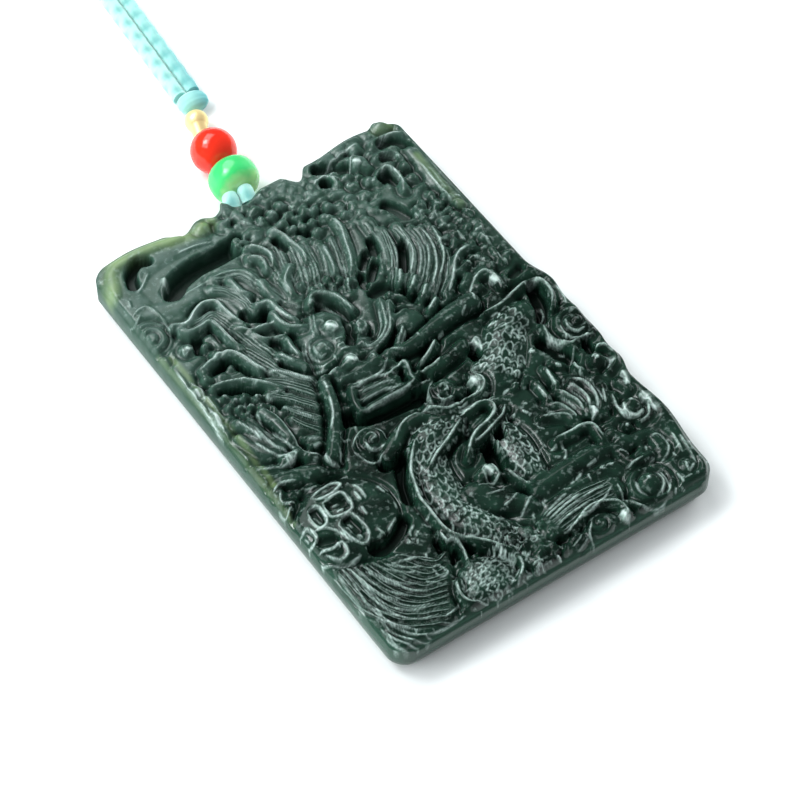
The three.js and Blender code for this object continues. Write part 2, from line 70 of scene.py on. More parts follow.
# Necklace cord: one braided mint cord, doubled, so that two strands lie side by side on the surface.
# Its two ends are held by the knot at the gold bead, and its spare length is wound into a flat coil.
CORD = 1.85 * MM
STRAND_GAP = -0.1 * MM  # the two strands are pressed together
STRAND_START = Vector((4.05, 49.95)) * MM
STRAND_END = Vector((5.86, 74)) * MM
COIL_CENTRE = Vector((6.71, 92.8)) * MM
COIL_MIDDLE = 9.8 * MM  # radius of the coil's middle turn
COIL_COLUMNS = 5        # turns side by side in a layer
COIL_LAYERS = 2
COIL_STEPS = 24         # points of the route in one turn
STEP_OVER = 0.3         # share of a turn in which the cord moves over to the next
CORD_SWELL = 1.06       # the soft braid is a little fuller than its nominal diameter
CORD_FLOOR = 0.5 * CORD_SWELL * CORD + 0.02 * MM
BRAID_RELIEF = 0.035    # height of the braid, in cord diameters
BRAID_PLAIT = 1.3       # length of one plait, in cord diameters
MINT_DIP_SHADE = (0.16, 0.43, 0.41, 1)
MINT_PALE = (0.38, 0.65, 0.60, 1)
MINT_STRAND_SHADE = (0.07, 0.32, 0.34, 1)


def add_node(tree, kind, inputs=None, **settings):
    """A node of a tree with its settings, its constants and its links by input name or number."""
    node = tree.nodes.new(kind)
    for key, value in settings.items():
        setattr(node, key, value)
    for key, value in (inputs or {}).items():
        if isinstance(value, bpy.types.NodeSocket):
            tree.links.new(value, node.inputs[key])
        else:
            node.inputs[key].default_value = value
    return node


def math_node(tree, operation, first, second=0.0):
    """One arithmetic node, by its output."""
    return add_node(tree, "ShaderNodeMath", {0: first, 1: second}, operation=operation).outputs[0]


def product(tree, value, *factors):
    """A value times each factor in turn, by the last node's output."""
    for factor in factors:
        value = math_node(tree, "MULTIPLY", value, factor)
    return value


def lessened(tree, whole, value, share=1.0):
    """A whole less a share of a value, by the last node's output."""
    return math_node(tree, "SUBTRACT", whole, product(tree, value, share))


def ranged(tree, value, low, high, first=0.0, last=1.0):
    """A value's way from low to high carried over to first and last, by the node's output."""
    return add_node(tree, "ShaderNodeMapRange", {"Value": value, "From Min": low, "From Max": high,
                                                 "To Min": first, "To Max": last}).outputs[0]


def mixed(tree, share, first, second):
    """Two colours mixed by a share, by the node's output."""
    return add_node(tree, "ShaderNodeMix", {0: share, 6: first, 7: second}, data_type="RGBA").outputs[2]


def braid_tree():
    """Geometry nodes that sweep a braided cord along a curve and keep the braid's height as an attribute."""
    tree = bpy.data.node_groups.new("braided_cord", "GeometryNodeTree")
    for name, kind in (("Route", "Geometry"), ("Radius", "Float"), ("Plait", "Float"), ("Relief", "Float"),
                       ("Material", "Material")):
        tree.interface.new_socket(name, in_out="INPUT", socket_type="NodeSocket" + kind)
    tree.interface.new_socket("Cord", in_out="OUTPUT", socket_type="NodeSocketGeometry")
    given = tree.nodes.new("NodeGroupInput").outputs
    step = math_node(tree, "DIVIDE", given["Plait"], 6.0)
    route = add_node(tree, "GeometryNodeResampleCurve", {"Curve": given["Route"], "Length": step},
                     mode="LENGTH")
    measure = tree.nodes.new("GeometryNodeSplineParameter")
    along = add_node(tree, "GeometryNodeCaptureAttribute", {"Geometry": route.outputs[0]})
    along.capture_items.new("FLOAT", "along")
    tree.links.new(measure.outputs["Length"], along.inputs[1])
    ring = add_node(tree, "GeometryNodeCurvePrimitiveCircle", {"Resolution": 16, "Radius": given["Radius"]})
    round_it = add_node(tree, "GeometryNodeCaptureAttribute", {"Geometry": ring.outputs[0]})
    round_it.capture_items.new("FLOAT", "round")
    tree.links.new(measure.outputs["Factor"], round_it.inputs[1])
    sweep = add_node(tree, "GeometryNodeCurveToMesh",
                     {"Curve": along.outputs[0], "Profile Curve": round_it.outputs[0], "Fill Caps": True})
    turns = product(tree, round_it.outputs[1], 4 * math.pi)
    steps = product(tree, math_node(tree, "DIVIDE", along.outputs[1], given["Plait"]), 2 * math.pi)
    over = math_node(tree, "SINE", math_node(tree, "ADD", steps, turns))
    under = math_node(tree, "SINE", math_node(tree, "SUBTRACT", steps, turns))
    braid = math_node(tree, "MAXIMUM", over, under)
    normal = tree.nodes.new("GeometryNodeInputNormal")
    height = product(tree, braid, given["Relief"])
    push = add_node(tree, "ShaderNodeVectorMath", operation="SCALE")
    tree.links.new(normal.outputs[0], push.inputs[0])
    tree.links.new(height, push.inputs["Scale"])
    kept = add_node(tree, "GeometryNodeStoreNamedAttribute",
                    {"Geometry": sweep.outputs[0], "Name": "braid", "Value": braid},
                    data_type="FLOAT", domain="POINT")
    moved = add_node(tree, "GeometryNodeSetPosition",
                     {"Geometry": kept.outputs[0], "Offset": push.outputs[0]})
    soft = add_node(tree, "GeometryNodeSetShadeSmooth", {"Geometry": moved.outputs[0]})
    whole = add_node(tree, "GeometryNodeRealizeInstances", {"Geometry": soft.outputs[0]})
    dressed = add_node(tree, "GeometryNodeSetMaterial",
                       {"Geometry": whole.outputs[0], "Material": given["Material"]})
    tree.links.new(dressed.outputs[0], tree.nodes.new("NodeGroupOutput").inputs[0])
    return tree


def braided(name, points, diameter, tree, material):
    """A braided cord as a mesh piece along the points of its route."""
    curve = bpy.data.curves.new(name + "_route", "CURVE")
    curve.dimensions = "3D"
    spline = curve.splines.new("POLY")
    spline.points.add(len(points) - 1)
    for held, at in zip(spline.points, points):
        held.co = (*at, 1)
    guide = bpy.data.objects.new(name + "_guide", curve)
    bpy.context.scene.collection.objects.link(guide)
    modifier = guide.modifiers.new("braid", "NODES")
    modifier.node_group = tree
    names = {item.name: item.identifier for item in tree.interface.items_tree if item.in_out == "INPUT"}
    relief = BRAID_RELIEF * diameter
    modifier[names["Radius"]] = 0.5 * diameter - relief
    modifier[names["Plait"]] = BRAID_PLAIT * diameter
    modifier[names["Relief"]] = relief
    modifier[names["Material"]] = material
    bpy.context.view_layer.update()
    swept = guide.evaluated_get(bpy.context.evaluated_depsgraph_get())
    piece = bpy.data.objects.new(name, bpy.data.meshes.new_from_object(swept))
    guide.modifiers.clear()
    bpy.data.objects.remove(guide)
    bpy.context.scene.collection.objects.link(piece)
    return piece


def cord_material():
    """Pale mint thread, with painted shade in the dips of the braid and on the right strand, deepening
    towards the knot.
    """
    material = bpy.data.materials.new("mint_cord")
    material.use_nodes = True
    tree = material.node_tree
    shader = tree.nodes["Principled BSDF"]
    # Painted shade: the braid's dips are coloured darker than its raised turns.
    braid = add_node(tree, "ShaderNodeAttribute", attribute_name="braid").outputs["Fac"]
    colour = mixed(tree, ranged(tree, braid, -0.9, 0.9), MINT_DIP_SHADE, MINT_PALE)
    # Painted shade: the right strand is coloured darker towards the knot, as on its shaded side.
    where = add_node(tree, "ShaderNodeTexCoord").outputs["Object"]
    spread = add_node(tree, "ShaderNodeSeparateXYZ", {0: where})
    lean = (STRAND_END.x - STRAND_START.x) / (STRAND_END.y - STRAND_START.y)
    middle = STRAND_START.x - STRAND_START.y * lean
    aside = lessened(tree, spread.outputs["X"], spread.outputs["Y"], lean)
    right = ranged(tree, aside, middle - 0.2 * CORD, middle + 0.8 * CORD)
    early = ranged(tree, spread.outputs["Y"], STRAND_START.y, STRAND_END.y, 0.9, 0.0)
    strand_shaded = mixed(tree, product(tree, right, early), colour, MINT_STRAND_SHADE)
    tree.links.new(strand_shaded, shader.inputs["Base Color"])
    shader.inputs["Roughness"].default_value = 0.75
    shader.inputs["Sheen Weight"].default_value = 0.3
    shader.inputs["Subsurface Weight"].default_value = 0.6
    shader.inputs["Subsurface Radius"].default_value = (0.6, 0.9, 0.9)
    shader.inputs["Subsurface Scale"].default_value = 1.0 * MM
    return material


def strand_line(side):
    """One strand from the knot to where it touches the coil's outer turn, and that place's angle."""
    beside = Vector((0.5 * (CORD + STRAND_GAP) * side, 0))
    start = STRAND_START + beside
    end = STRAND_END + beside
    outer = COIL_MIDDLE + 0.5 * (COIL_COLUMNS - 1) * CORD
    across = COIL_CENTRE - end
    heading = math.atan2(across.y, across.x) - side * math.asin(outer / across.length)
    free = math.sqrt(across.length_squared - outer * outer)
    away = Vector((math.cos(heading), math.sin(heading)))
    straight = [start.lerp(end, t / 12) for t in range(12)]
    parted = [end + away * free * t for t in (0.12, 0.25, 0.4, 0.55, 0.7, 0.85, 1)]
    touch = parted[-1] - COIL_CENTRE
    return straight + parted, math.atan2(touch.y, touch.x)


def necklace_route():
    """Out along the left strand, in and out through the coil's two layers, and back along the right one."""
    left, begin = strand_line(-1)
    right, finish = strand_line(1)
    route = [Vector((*p, CORD_FLOOR)) for p in left]
    turns = COIL_COLUMNS * COIL_LAYERS
    sweep = 2 * math.pi * (turns - 1) + (begin - finish) % (2 * math.pi)
    for k in range(1, COIL_STEPS * turns):
        turn = k / COIL_STEPS
        layer = int(turn // COIL_COLUMNS)
        within = turn - layer * COIL_COLUMNS
        settled = math.floor(within) + max(0, (within % 1 - 1 + STEP_OVER) / STEP_OVER)
        inward = min(COIL_COLUMNS - 1, settled)
        column = inward if layer == 0 else COIL_COLUMNS - 1 - inward
        rise = 1.0 if layer else max(0.0, (within - COIL_COLUMNS + STEP_OVER) / STEP_OVER)
        radius = COIL_MIDDLE + (0.5 * (COIL_COLUMNS - 1) - column) * CORD
        angle = begin - sweep * turn / turns
        at = COIL_CENTRE + radius * Vector((math.cos(angle), math.sin(angle)))
        route.append(Vector((*at, CORD_FLOOR + rise * CORD)))
    for k, p in enumerate(reversed(right)):
        lift = CORD * (1 - min(1, max(0, (k - 2) / 4)))
        route.append(Vector((*p, CORD_FLOOR + lift)))
    return route


def rounded(points, rounds=2):
    """The same route with its corners eased off, its ends kept."""
    for _ in range(rounds):
        eased = [points[0]]
        for a, b in zip(points, points[1:]):
            eased += [a.lerp(b, 0.25), a.lerp(b, 0.75)]
        points = eased + [points[-1]]
    return points


cord_tree = braid_tree()
mint = cord_material()
route = rounded(necklace_route())
necklace = braided("necklace_cord", route, CORD_SWELL * CORD, cord_tree, mint)
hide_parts("cord_strand_left", "cord_strand_right", "cord_coil")
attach(necklace, "root")


# Coil tie: a flat band of the same mint thread, laid over the far side of the coil to hold its turns.
# Its two ends come down to the surface, and the solid's own form is kept.
tie = bpy.data.objects["coil_tie"]
tie.data.materials.clear()
tie.data.materials.append(mint)


# Knot: the doubled cord's two ends whipped together into a rounded lump that stops at the gold bead.
# The same thread is wound round it, so faint turns of thread show across it.
KNOT_LOW, KNOT_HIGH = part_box("cord_knot")
KNOT_TURNS = 7


def turned(name, profile, centre, direction, segments, flat=1.0):
    """A closed piece turned from (radius, along) pairs about a level axis, its height scaled by flat."""
    along = Vector((*direction, 0)).normalized()
    across = Vector((-along.y, along.x, 0))
    mesh = bpy.data.meshes.new(name)
    verts = []
    faces = []
    rings = []
    for radius, at in profile:
        if radius < 1e-7:
            rings.append([len(verts)] * segments)
            verts.append(centre + along * at)
            continue
        rings.append([len(verts) + k for k in range(segments)])
        for k in range(segments):
            angle = 2 * math.pi * k / segments
            verts.append(centre + along * at + across * radius * math.cos(angle)
                         + Vector((0, 0, flat * radius * math.sin(angle))))
    for low, high in zip(rings, rings[1:]):
        for k in range(segments):
            loop = [low[k], low[(k + 1) % segments], high[(k + 1) % segments], high[k]]
            faces.append(list(dict.fromkeys(loop)))
    mesh.from_pydata([tuple(v) for v in verts], [], faces)
    mesh.polygons.foreach_set("use_smooth", [True] * len(mesh.polygons))
    piece = bpy.data.objects.new(name, mesh)
    bpy.context.scene.collection.objects.link(piece)
    return piece


def round_profile(radius, half_length, steps, ripple=0.0, turns=0, square=2.0):
    """Half outline of a bead from pole to pole, with a ripple of thread turns or squarer shoulders."""
    profile = []
    for k in range(steps + 1):
        angle = -0.5 * math.pi + math.pi * k / steps
        wave = 1 - ripple * (0.5 + 0.5 * math.cos(2 * math.pi * turns * k / steps))
        out = max(0.0, math.cos(angle)) ** (2 / square) if 0 < k < steps else 0.0
        along = math.copysign(abs(math.sin(angle)) ** (2 / square), angle)
        profile.append((radius * wave * out, half_length * along))
    return profile


knot_size = KNOT_HIGH - KNOT_LOW
knot = turned("knot", round_profile(0.5 * knot_size.x, 0.5 * knot_size.y, 48, 0.03, KNOT_TURNS, 2.6),
              0.5 * (KNOT_LOW + KNOT_HIGH), STRAND_END - STRAND_START, 40, knot_size.z / knot_size.x)
knot.data.materials.append(mint)
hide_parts("cord_knot")
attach(knot, "root")


# Loop: the cord's short doubled loop between the green bead and the hole bored in the plaque's top edge.
# The same braided cord, a little tighter, going into the stone below the relief.
LOOP_CORD = 2.1 * MM
LOOP_LINE = ((-0.85, 30.0, 2.9), (-0.6, 30.9, 3.2), (-0.35, 31.85, 3.3))

for side, hand in ((-1, "left"), (1, "right")):
    beside = Vector((0.5 * (LOOP_CORD + STRAND_GAP) * side, 0, 0))
    line = [Vector(at) * MM + beside for at in LOOP_LINE]
    strand = braided("loop_" + hand, rounded(line), LOOP_CORD, cord_tree, mint)
    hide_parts("loop_strand_" + hand)
    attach(strand, "root")


# Gold bead: a small cast bead with a short collar, plated and polished, threaded between knot and red bead.
# Its rounded body and collar are one turned piece.
GOLD_AT = Vector((2.62, 45.4, 1.42)) * MM
GOLD_RADIUS = 1.4 * MM
COLLAR_RADIUS = 0.95 * MM
COLLAR_LENGTH = 1.6 * MM
COLLAR_EDGE = 0.1 * MM
GOLD = (1.0, 0.80, 0.38, 1)


def metal_material():
    """Polished yellow gold plate."""
    material = bpy.data.materials.new("gold_plate")
    material.use_nodes = True
    shader = material.node_tree.nodes["Principled BSDF"]
    shader.inputs["Base Color"].default_value = GOLD
    shader.inputs["Metallic"].default_value = 0.6
    shader.inputs["Roughness"].default_value = 0.42
    return material


gold_ball = [p for p in round_profile(GOLD_RADIUS, GOLD_RADIUS, 36) if p[0] > COLLAR_RADIUS or p[1] > 0]
collar_foot = -GOLD_RADIUS - COLLAR_LENGTH
gold_profile = [(0.0, collar_foot), (COLLAR_RADIUS * 0.9, collar_foot),
                (COLLAR_RADIUS, collar_foot + COLLAR_EDGE)] + gold_ball
gold_bead = turned("gold_bead", gold_profile, GOLD_AT, STRAND_START.xy - GOLD_AT.xy, 48)
gold_bead.data.materials.append(metal_material())
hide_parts("bead_gold")
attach(gold_bead, "root")


# Red bead: a round polished bead of dyed stone, bored and threaded next to the gold one.
# Glossy, slightly translucent, with a lighter glow low on its shaded side.
RED_AT = Vector((1.18, 39.25, 2.77)) * MM
RED_RADIUS = 2.75 * MM
RED = (0.66, 0.016, 0.006, 1)
RED_GLOW = (0.82, 0.035, 0.010, 1)


def noise(tree, where, scale, detail):
    """Even mottling of a scale per metre, by the node's output."""
    return add_node(tree, "ShaderNodeTexNoise",
                    {"Vector": where, "Scale": scale, "Detail": detail}).outputs["Fac"]


def bead_material(name, colour, glow, scatter, clear, painted_glow=None, glow_from=0.0, glow_to=0.0):
    """Polished translucent bead stone, with a painted glow between two places along the pendant if a glow
    colour is given.
    """
    material = bpy.data.materials.new(name)
    material.use_nodes = True
    tree = material.node_tree
    shader = tree.nodes["Principled BSDF"]
    where = add_node(tree, "ShaderNodeTexCoord").outputs["Object"]
    cloud = noise(tree, where, 420.0, 2.0)
    stone = mixed(tree, cloud, colour, glow)
    # Painted light: a pale band along the bead stands for the light gathered in the translucent stone.
    if painted_glow:
        along = add_node(tree, "ShaderNodeSeparateXYZ", {0: where}).outputs["Y"]
        ragged = math_node(tree, "ADD", along, product(tree, cloud, 2.4 * MM))
        stone = mixed(tree, ranged(tree, ragged, glow_from, glow_to, 0.9, 0.0), stone, painted_glow)
    tree.links.new(stone, shader.inputs["Base Color"])
    shader.inputs["Roughness"].default_value = 0.12
    shader.inputs["IOR"].default_value = 1.54
    shader.inputs["Subsurface Weight"].default_value = scatter
    shader.inputs["Subsurface Radius"].default_value = (1.0, 0.6, 0.4)
    shader.inputs["Subsurface Scale"].default_value = 1.2 * MM
    shader.inputs["Transmission Weight"].default_value = clear
    return material


red_bead = turned("red_bead", round_profile(RED_RADIUS, RED_RADIUS, 40), RED_AT, GOLD_AT.xy - RED_AT.xy, 64)
red_bead.data.materials.append(bead_material("red_stone", RED, RED_GLOW, 0.4, 0.0))
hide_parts("bead_red")
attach(red_bead, "root")


# Green bead: a flattened bead of clear green stone, threaded between the red bead and the plaque.
# Translucent, and the light that gathers in its lower half is painted in as a pale band.
GREEN_AT = Vector((0.62, 34.0, 3.0)) * MM
GREEN_RADIUS = 2.95 * MM
GREEN_HALF = 2.15 * MM
GREEN = (0.035, 0.62, 0.15, 1)
GREEN_GLOW = (0.09, 0.76, 0.26, 1)
GREEN_PAINTED_GLOW = (0.66, 0.98, 0.48, 1)

green_foot = GREEN_AT.y - GREEN_HALF
green_bead = turned("green_bead", round_profile(GREEN_RADIUS, GREEN_HALF, 40, square=2.8), GREEN_AT,
                    RED_AT.xy - GREEN_AT.xy, 64)
green_bead.data.materials.append(bead_material("green_stone", GREEN, GREEN_GLOW, 0.55, 0.3, GREEN_PAINTED_GLOW,
                                               green_foot + 1.3 * MM, green_foot + 2.4 * MM))
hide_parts("bead_green")
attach(green_bead, "root")


# Plaque: one sawn block of dark green jade, its face carved in deep relief with a dragon among clouds over
# waves and a coin, its sides left plain, and all of it polished. The carving is set out in millimetres.
PLAQUE_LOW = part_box("plaque")[0] / MM
HALF_W = -PLAQUE_LOW.x
HALF_L = -PLAQUE_LOW.y
RIM_HEIGHT = 3.7        # height of the plain rim round the face
RIM_EASE = 0.8          # width in which the face settles to the rim
EDGE_RISE = 0.6         # how much higher the carved edges stand than the plain rim
GROUND_HEIGHT = 4.5     # ground between the carved forms
FLANK = 0.5             # least width of a form's flank
CREST_KEPT = 0.75       # share of a form's height over the ground that the polishing leaves
BACK_EDGE = 1.5         # rounding of the edge round the flat back
# Radius of each corner by its side and end, and each edge's swells by middle, half width and height.
CORNERS = {(-1, 1): 2.2, (1, 1): 1.4, (-1, -1): 2.2, (1, -1): 2.4}
TOP_SWELLS = ((-15.5, 5.5, 0.5), (-9.1, 2.4, -1.0), (-4.8, 1.5, -0.6), (-3, 0.9, 0.9), (-0.9, 3, -1.0),
              (6.1, 1.8, -1.6), (14.5, 6, 0.7), (18.2, 1.5, 0.8))
RIGHT_SWELLS = ((0.4, 4.2, 1.0), (-4.6, 4.4, 0.8), (-8.6, 3.4, 0.7), (-12.4, 3, 0.65), (-21, 6, 0.55))
TOP_INSET = 0.8         # how far the top edge is cut back between its swells
TOP_REACH = 5.0         # depth of face that follows the top edge's swells
RIGHT_INSET = 0.55      # how far the right edge is cut back between its swells
COLUMNS = 248           # grid places across the face
ROWS = 362              # grid places along the face
# Extra rows that follow the corners' rounding, and the places averaged into each grid place.
CORNER_ROWS = np.array((0.0008, 0.003, 0.007, 0.013, 0.021, 0.031, 0.043))
SAMPLES = ((-0.043, -0.043), (0.043, -0.043), (-0.043, 0.043), (0.043, 0.043))
NO_CREST = 2.0          # mark of a place with no sharp crest near it


def smooth(value):
    """Eased step from 0 to 1."""
    held = np.clip(value, 0, 1)
    return held * held * (3 - 2 * held)


def hump(value):
    """Eased rise to 1 at the middle and back to 0 at one unit away."""
    return np.where(np.abs(value) < 1, 0.5 + 0.5 * np.cos(np.pi * np.clip(value, -1, 1)), 0.0)


def swell(swells, at):
    """Sum of the cloud swells along one edge."""
    return sum(high * hump((at - middle) / half) for middle, half, high in swells)


def side_at(y, side):
    """The farthest x on one side at height y, with the corners rounded off."""
    radius = np.where(y > 0, CORNERS[(side, 1)], CORNERS[(side, -1)])
    into = np.maximum(0, np.abs(y) - (HALF_L - radius))
    corner = radius - np.sqrt(np.maximum(0, radius ** 2 - into ** 2))
    bulge = swell(RIGHT_SWELLS, y) - RIGHT_INSET if side > 0 else 0
    return side * (HALF_W - corner + bulge)


def place(u, v):
    """Grid place to plan place: u and v run from -1 to 1 across and along the plaque."""
    y = v * HALF_L
    x = 0.5 * (side_at(y, -1) + side_at(y, 1)) + 0.5 * u * (side_at(y, 1) - side_at(y, -1))
    return x, y + (swell(TOP_SWELLS, x) - TOP_INSET) * smooth((y - HALF_L + TOP_REACH) / TOP_REACH)


def spline(points, steps=8):
    """A smooth path through a few points."""
    p = np.array(points, float)
    if len(p) == 2:
        return p
    p = np.vstack([2 * p[0] - p[1], p, 2 * p[-1] - p[-2]])
    path = []
    for a, b, c, d in zip(p, p[1:], p[2:], p[3:]):
        for t in np.arange(steps) / steps:
            path.append(0.5 * (2 * b + (c - a) * t + (2 * a - 5 * b + 4 * c - d) * t ** 2
                               + (3 * b - a - 3 * c + d) * t ** 3))
    return np.array(path + [p[-2]])


def polished(height):
    """A crest's height once the polishing has taken some of it away."""
    return min(height, GROUND_HEIGHT) + CREST_KEPT * max(0.0, height - GROUND_HEIGHT)


def seen(points, height):
    """Plan places in millimetres of picture places at a height on the face, along the camera's rays."""
    across = Vector((math.cos(VIEW_TURN), -math.sin(VIEW_TURN), 0))
    upward = across.cross(looking)
    places = []
    for px, py in points:
        ray = (looking * FOCAL_PIXELS + across * (px - 0.5 * PICTURE_PIXELS)
               + upward * (0.5 * PICTURE_PIXELS - py))
        at = camera.location / MM + ray * (polished(height) - camera.location.z / MM) / ray.z
        places.append((at.x, at.y))
    return places


class Carving:
    """The face's heights, worked stroke by stroke, with its hair, its sharp crests that carry painted
    highlights, and its thin rims painted yellow-green as light coming through.
    """

    def __init__(self, x, y):
        self.x = np.concatenate([x.ravel() + dx for dx, _ in SAMPLES])
        self.y = np.concatenate([y.ravel() + dy for _, dy in SAMPLES])
        self.z = np.full(self.x.shape, GROUND_HEIGHT)
        self.tint = np.zeros(self.x.shape)
        self.comb = np.zeros(self.x.shape)
        self.combed = np.zeros(self.x.shape)
        self.crest = np.full(self.x.shape, NO_CREST)

    def settled(self, values):
        """Values averaged over the samples round each grid place."""
        return values.reshape(len(SAMPLES), -1).mean(axis=0)

    def near(self, points, reach):
        """The grid places near a path: their numbers, distance, signed side and share of its length."""
        path = spline(points)
        low = path.min(axis=0) - reach
        high = path.max(axis=0) + reach
        at = np.flatnonzero((self.x > low[0]) & (self.x < high[0]) & (self.y > low[1]) & (self.y < high[1]))
        x, y = self.x[at], self.y[at]
        best = np.full(at.shape, 1e9)
        side = np.zeros(at.shape)
        along = np.zeros(at.shape)
        gone = 0.0
        for a, b in zip(path, path[1:]):
            step = b - a
            length = math.hypot(*step) or 1e-9
            t = np.clip(((x - a[0]) * step[0] + (y - a[1]) * step[1]) / length ** 2, 0, 1)
            dx, dy = x - a[0] - t * step[0], y - a[1] - t * step[1]
            away = np.hypot(dx, dy)
            closer = away < best
            best = np.where(closer, away, best)
            side = np.where(closer, np.sign(step[0] * dy - step[1] * dx) * away, side)
            along = np.where(closer, gone + t * length, along)
            gone += length
        return at, best, side, along, gone

    def raise_to(self, at, away, radius, top, drop, moat):
        """Lay rounded stock over the heights so far, its flank easing down to a shallow cut beside it."""
        z = self.z[at]
        reach = away / radius
        flank = np.maximum(0.3, FLANK / radius)
        stock = polished(top) - CREST_KEPT * drop * np.minimum(reach, 1.1) ** 2
        laid = np.maximum(z, z + (stock - z) * (1 - smooth((reach - 0.8) / flank)))
        self.z[at] = laid - moat * np.exp(-((away - radius * (0.8 + flank)) / 0.3) ** 2)
        self.combed[at] *= smooth((reach - 1.05) / 0.35)
        self.crest[at] = np.where(reach < 1, NO_CREST, self.crest[at])

    def ridge(self, points, start, end, top, drop=0.8, moat=0.25, strands=0, depth=0.16):
        """A rounded band along a path: lock, limb, whisker or cloud edge, combed into strands if asked."""
        at, away, side, along, length = self.near(points, max(start, end) + 1.2)
        radius = start + (end - start) * along / length
        reach = away / radius
        self.raise_to(at, away, radius, top, drop, moat)
        if strands > 1:
            across = 0.5 * (side / radius + 1)
            inside = (1 - smooth((reach - 0.8) / 0.2)) * smooth(2 * np.minimum(along, length - along))
            groove = 1 - np.abs(np.sin(np.pi * (strands // 2) * across))
            self.z[at] -= depth * inside * groove ** 1.5
            self.comb[at] = np.where(inside > 0, strands * across, self.comb[at])
            self.combed[at] = np.maximum(self.combed[at], inside)

    def line(self, points, width, high=0.14):
        """A thin sharp crest left along an edge, tapering at both ends."""
        at, away, _, along, length = self.near(points, 3 * width)
        taper = smooth(0.35 + 2.2 * np.minimum(along, length - along) / max(0.6, 0.5 * length))
        reach = away / (0.5 * width * taper)
        self.z[at] += high * taper * hump(reach / 2.4)
        # The crest mark is where the jade's colour gets pale painted highlights and glints.
        self.crest[at] = np.minimum(self.crest[at], reach)

    def hollow(self, points, radius, floor):
        """A sunk hollow along a path."""
        at, away, _, _, _ = self.near(points, radius + 0.6)
        z = self.z[at]
        sunk = smooth(2.2 * (1 - away / (radius + 0.35)))
        self.z[at] = z + (np.minimum(z, floor) - z) * sunk
        self.combed[at] *= 1 - sunk
        self.crest[at] = np.maximum(self.crest[at], NO_CREST * sunk)

    def ball(self, cx, cy, radius, top, drop=None, moat=0.3):
        """A domed ball or pearl."""
        at, away, _, _, _ = self.near([(cx - 0.01, cy), (cx + 0.01, cy)], radius + 1)
        self.raise_to(at, away, radius, top, 0.8 * radius if drop is None else drop, moat)

    def whorl(self, cx, cy, radius, top, turns=2.0, hand=1, begin=0.0, depth=0.45):
        """A cloud scroll: a spiral ridge on a low dome."""
        at, away, _, _, _ = self.near([(cx - 0.01, cy), (cx + 0.01, cy)], radius + 1)
        angle = np.arctan2(self.y[at] - cy, self.x[at] - cx)
        reach = away / radius
        self.raise_to(at, away, radius, top, 0.5, 0.3)
        coil = turns * reach + hand * angle / (2 * np.pi) + begin
        inside = 1 - smooth((reach - 0.92) / 0.1)
        groove = 1 - np.abs(np.sin(np.pi * coil))
        self.z[at] -= depth * inside * groove ** 1.4 * smooth(reach / 0.18)

    def scales(self, points, start, end, size, seed):
        """Rows of curved scale edges over a body that follows a path, each with a short dash inside it."""
        dice = np.random.default_rng(seed)
        path = spline(points)
        gone = np.concatenate([[0], np.cumsum(np.hypot(*np.diff(path, axis=0).T))])
        for row, along in enumerate(np.arange(0.5 * size, gone[-1], size)):
            radius = start + (end - start) * along / gone[-1] - 0.2
            middle = np.array([np.interp(along, gone, path[:, n]) for n in (0, 1)])
            ahead = np.array([np.interp(along + 0.3, gone, path[:, n]) for n in (0, 1)])
            forward = (ahead - middle) / (math.hypot(*(ahead - middle)) or 1)
            beside = np.array((-forward[1], forward[0]))
            for off in np.arange(-radius + 0.4 * size * (row % 2), radius, 0.8 * size):
                turn = dice.uniform(-0.4, 0.4)
                lean = forward * math.cos(turn) + beside * math.sin(turn)
                level = beside * math.cos(turn) - forward * math.sin(turn)
                at = middle + beside * off + size * dice.uniform(-0.1, 0.1, 2)
                half = size * dice.uniform(0.3, 0.42)
                back = size * dice.uniform(0.3, 0.7)
                self.line([at - level * half - lean * back, at - level * 0.8 * half, at + lean * 0.3 * size,
                           at + level * 0.8 * half, at + level * half - lean * back],
                          dice.uniform(0.12, 0.2), 0.06)
                if dice.uniform() < 0.5:
                    self.line([at - lean * 0.45 * size, at - lean * 0.1 * size], 0.2, 0.08)

    def pebbles(self, x0, y0, x1, y1, pitch, high, seed):
        """Rough ground: small flat bosses scattered over a patch."""
        dice = np.random.default_rng(seed)
        patch = np.flatnonzero((self.x > x0 - 1) & (self.x < x1 + 1) & (self.y > y0 - 1) & (self.y < y1 + 1))
        x, y = self.x[patch], self.y[patch]
        for gx in np.arange(x0, x1, pitch):
            for gy in np.arange(y0, y1, pitch):
                dx = x - gx - dice.uniform(-0.4, 0.4) * pitch
                dy = y - gy - dice.uniform(-0.4, 0.4) * pitch
                turn = dice.uniform(0, np.pi)
                radius = pitch * dice.uniform(0.4, 0.6)
                wide = dice.uniform(1.0, 1.7)
                longer = (dx * np.cos(turn) + dy * np.sin(turn)) / wide
                reach = np.hypot(longer, dx * np.sin(turn) - dy * np.cos(turn)) / radius
                top = GROUND_HEIGHT + high * dice.uniform(0.4, 1.0)
                boss = np.flatnonzero(reach < 1)
                lift = smooth(1.9 * (1 - reach[boss]))
                self.z[patch[boss]] += np.maximum(0, top - self.z[patch[boss]]) * lift

    def chips(self, x0, y0, x1, y1, count, seed):
        """Short sharp tool marks scattered over a patch."""
        dice = np.random.default_rng(seed)
        for x, y, turn, length in zip(dice.uniform(x0, x1, count), dice.uniform(y0, y1, count),
                                      dice.uniform(0, np.pi, count), dice.uniform(0.3, 1.0, count)):
            step = 0.5 * length * np.array((np.cos(turn), np.sin(turn)))
            bend = 0.25 * np.array((-step[1], step[0]))
            self.line([(x, y) - step, (x, y) + bend, (x, y) + step], dice.uniform(0.14, 0.3), 0.1)

    def yellow(self, points, radius, amount):
        """Thin stone near an edge, where the light coming through is painted in as yellow-green."""
        at, away, _, _, _ = self.near(points, radius)
        self.tint[at] = np.maximum(self.tint[at], amount * hump(away / radius))


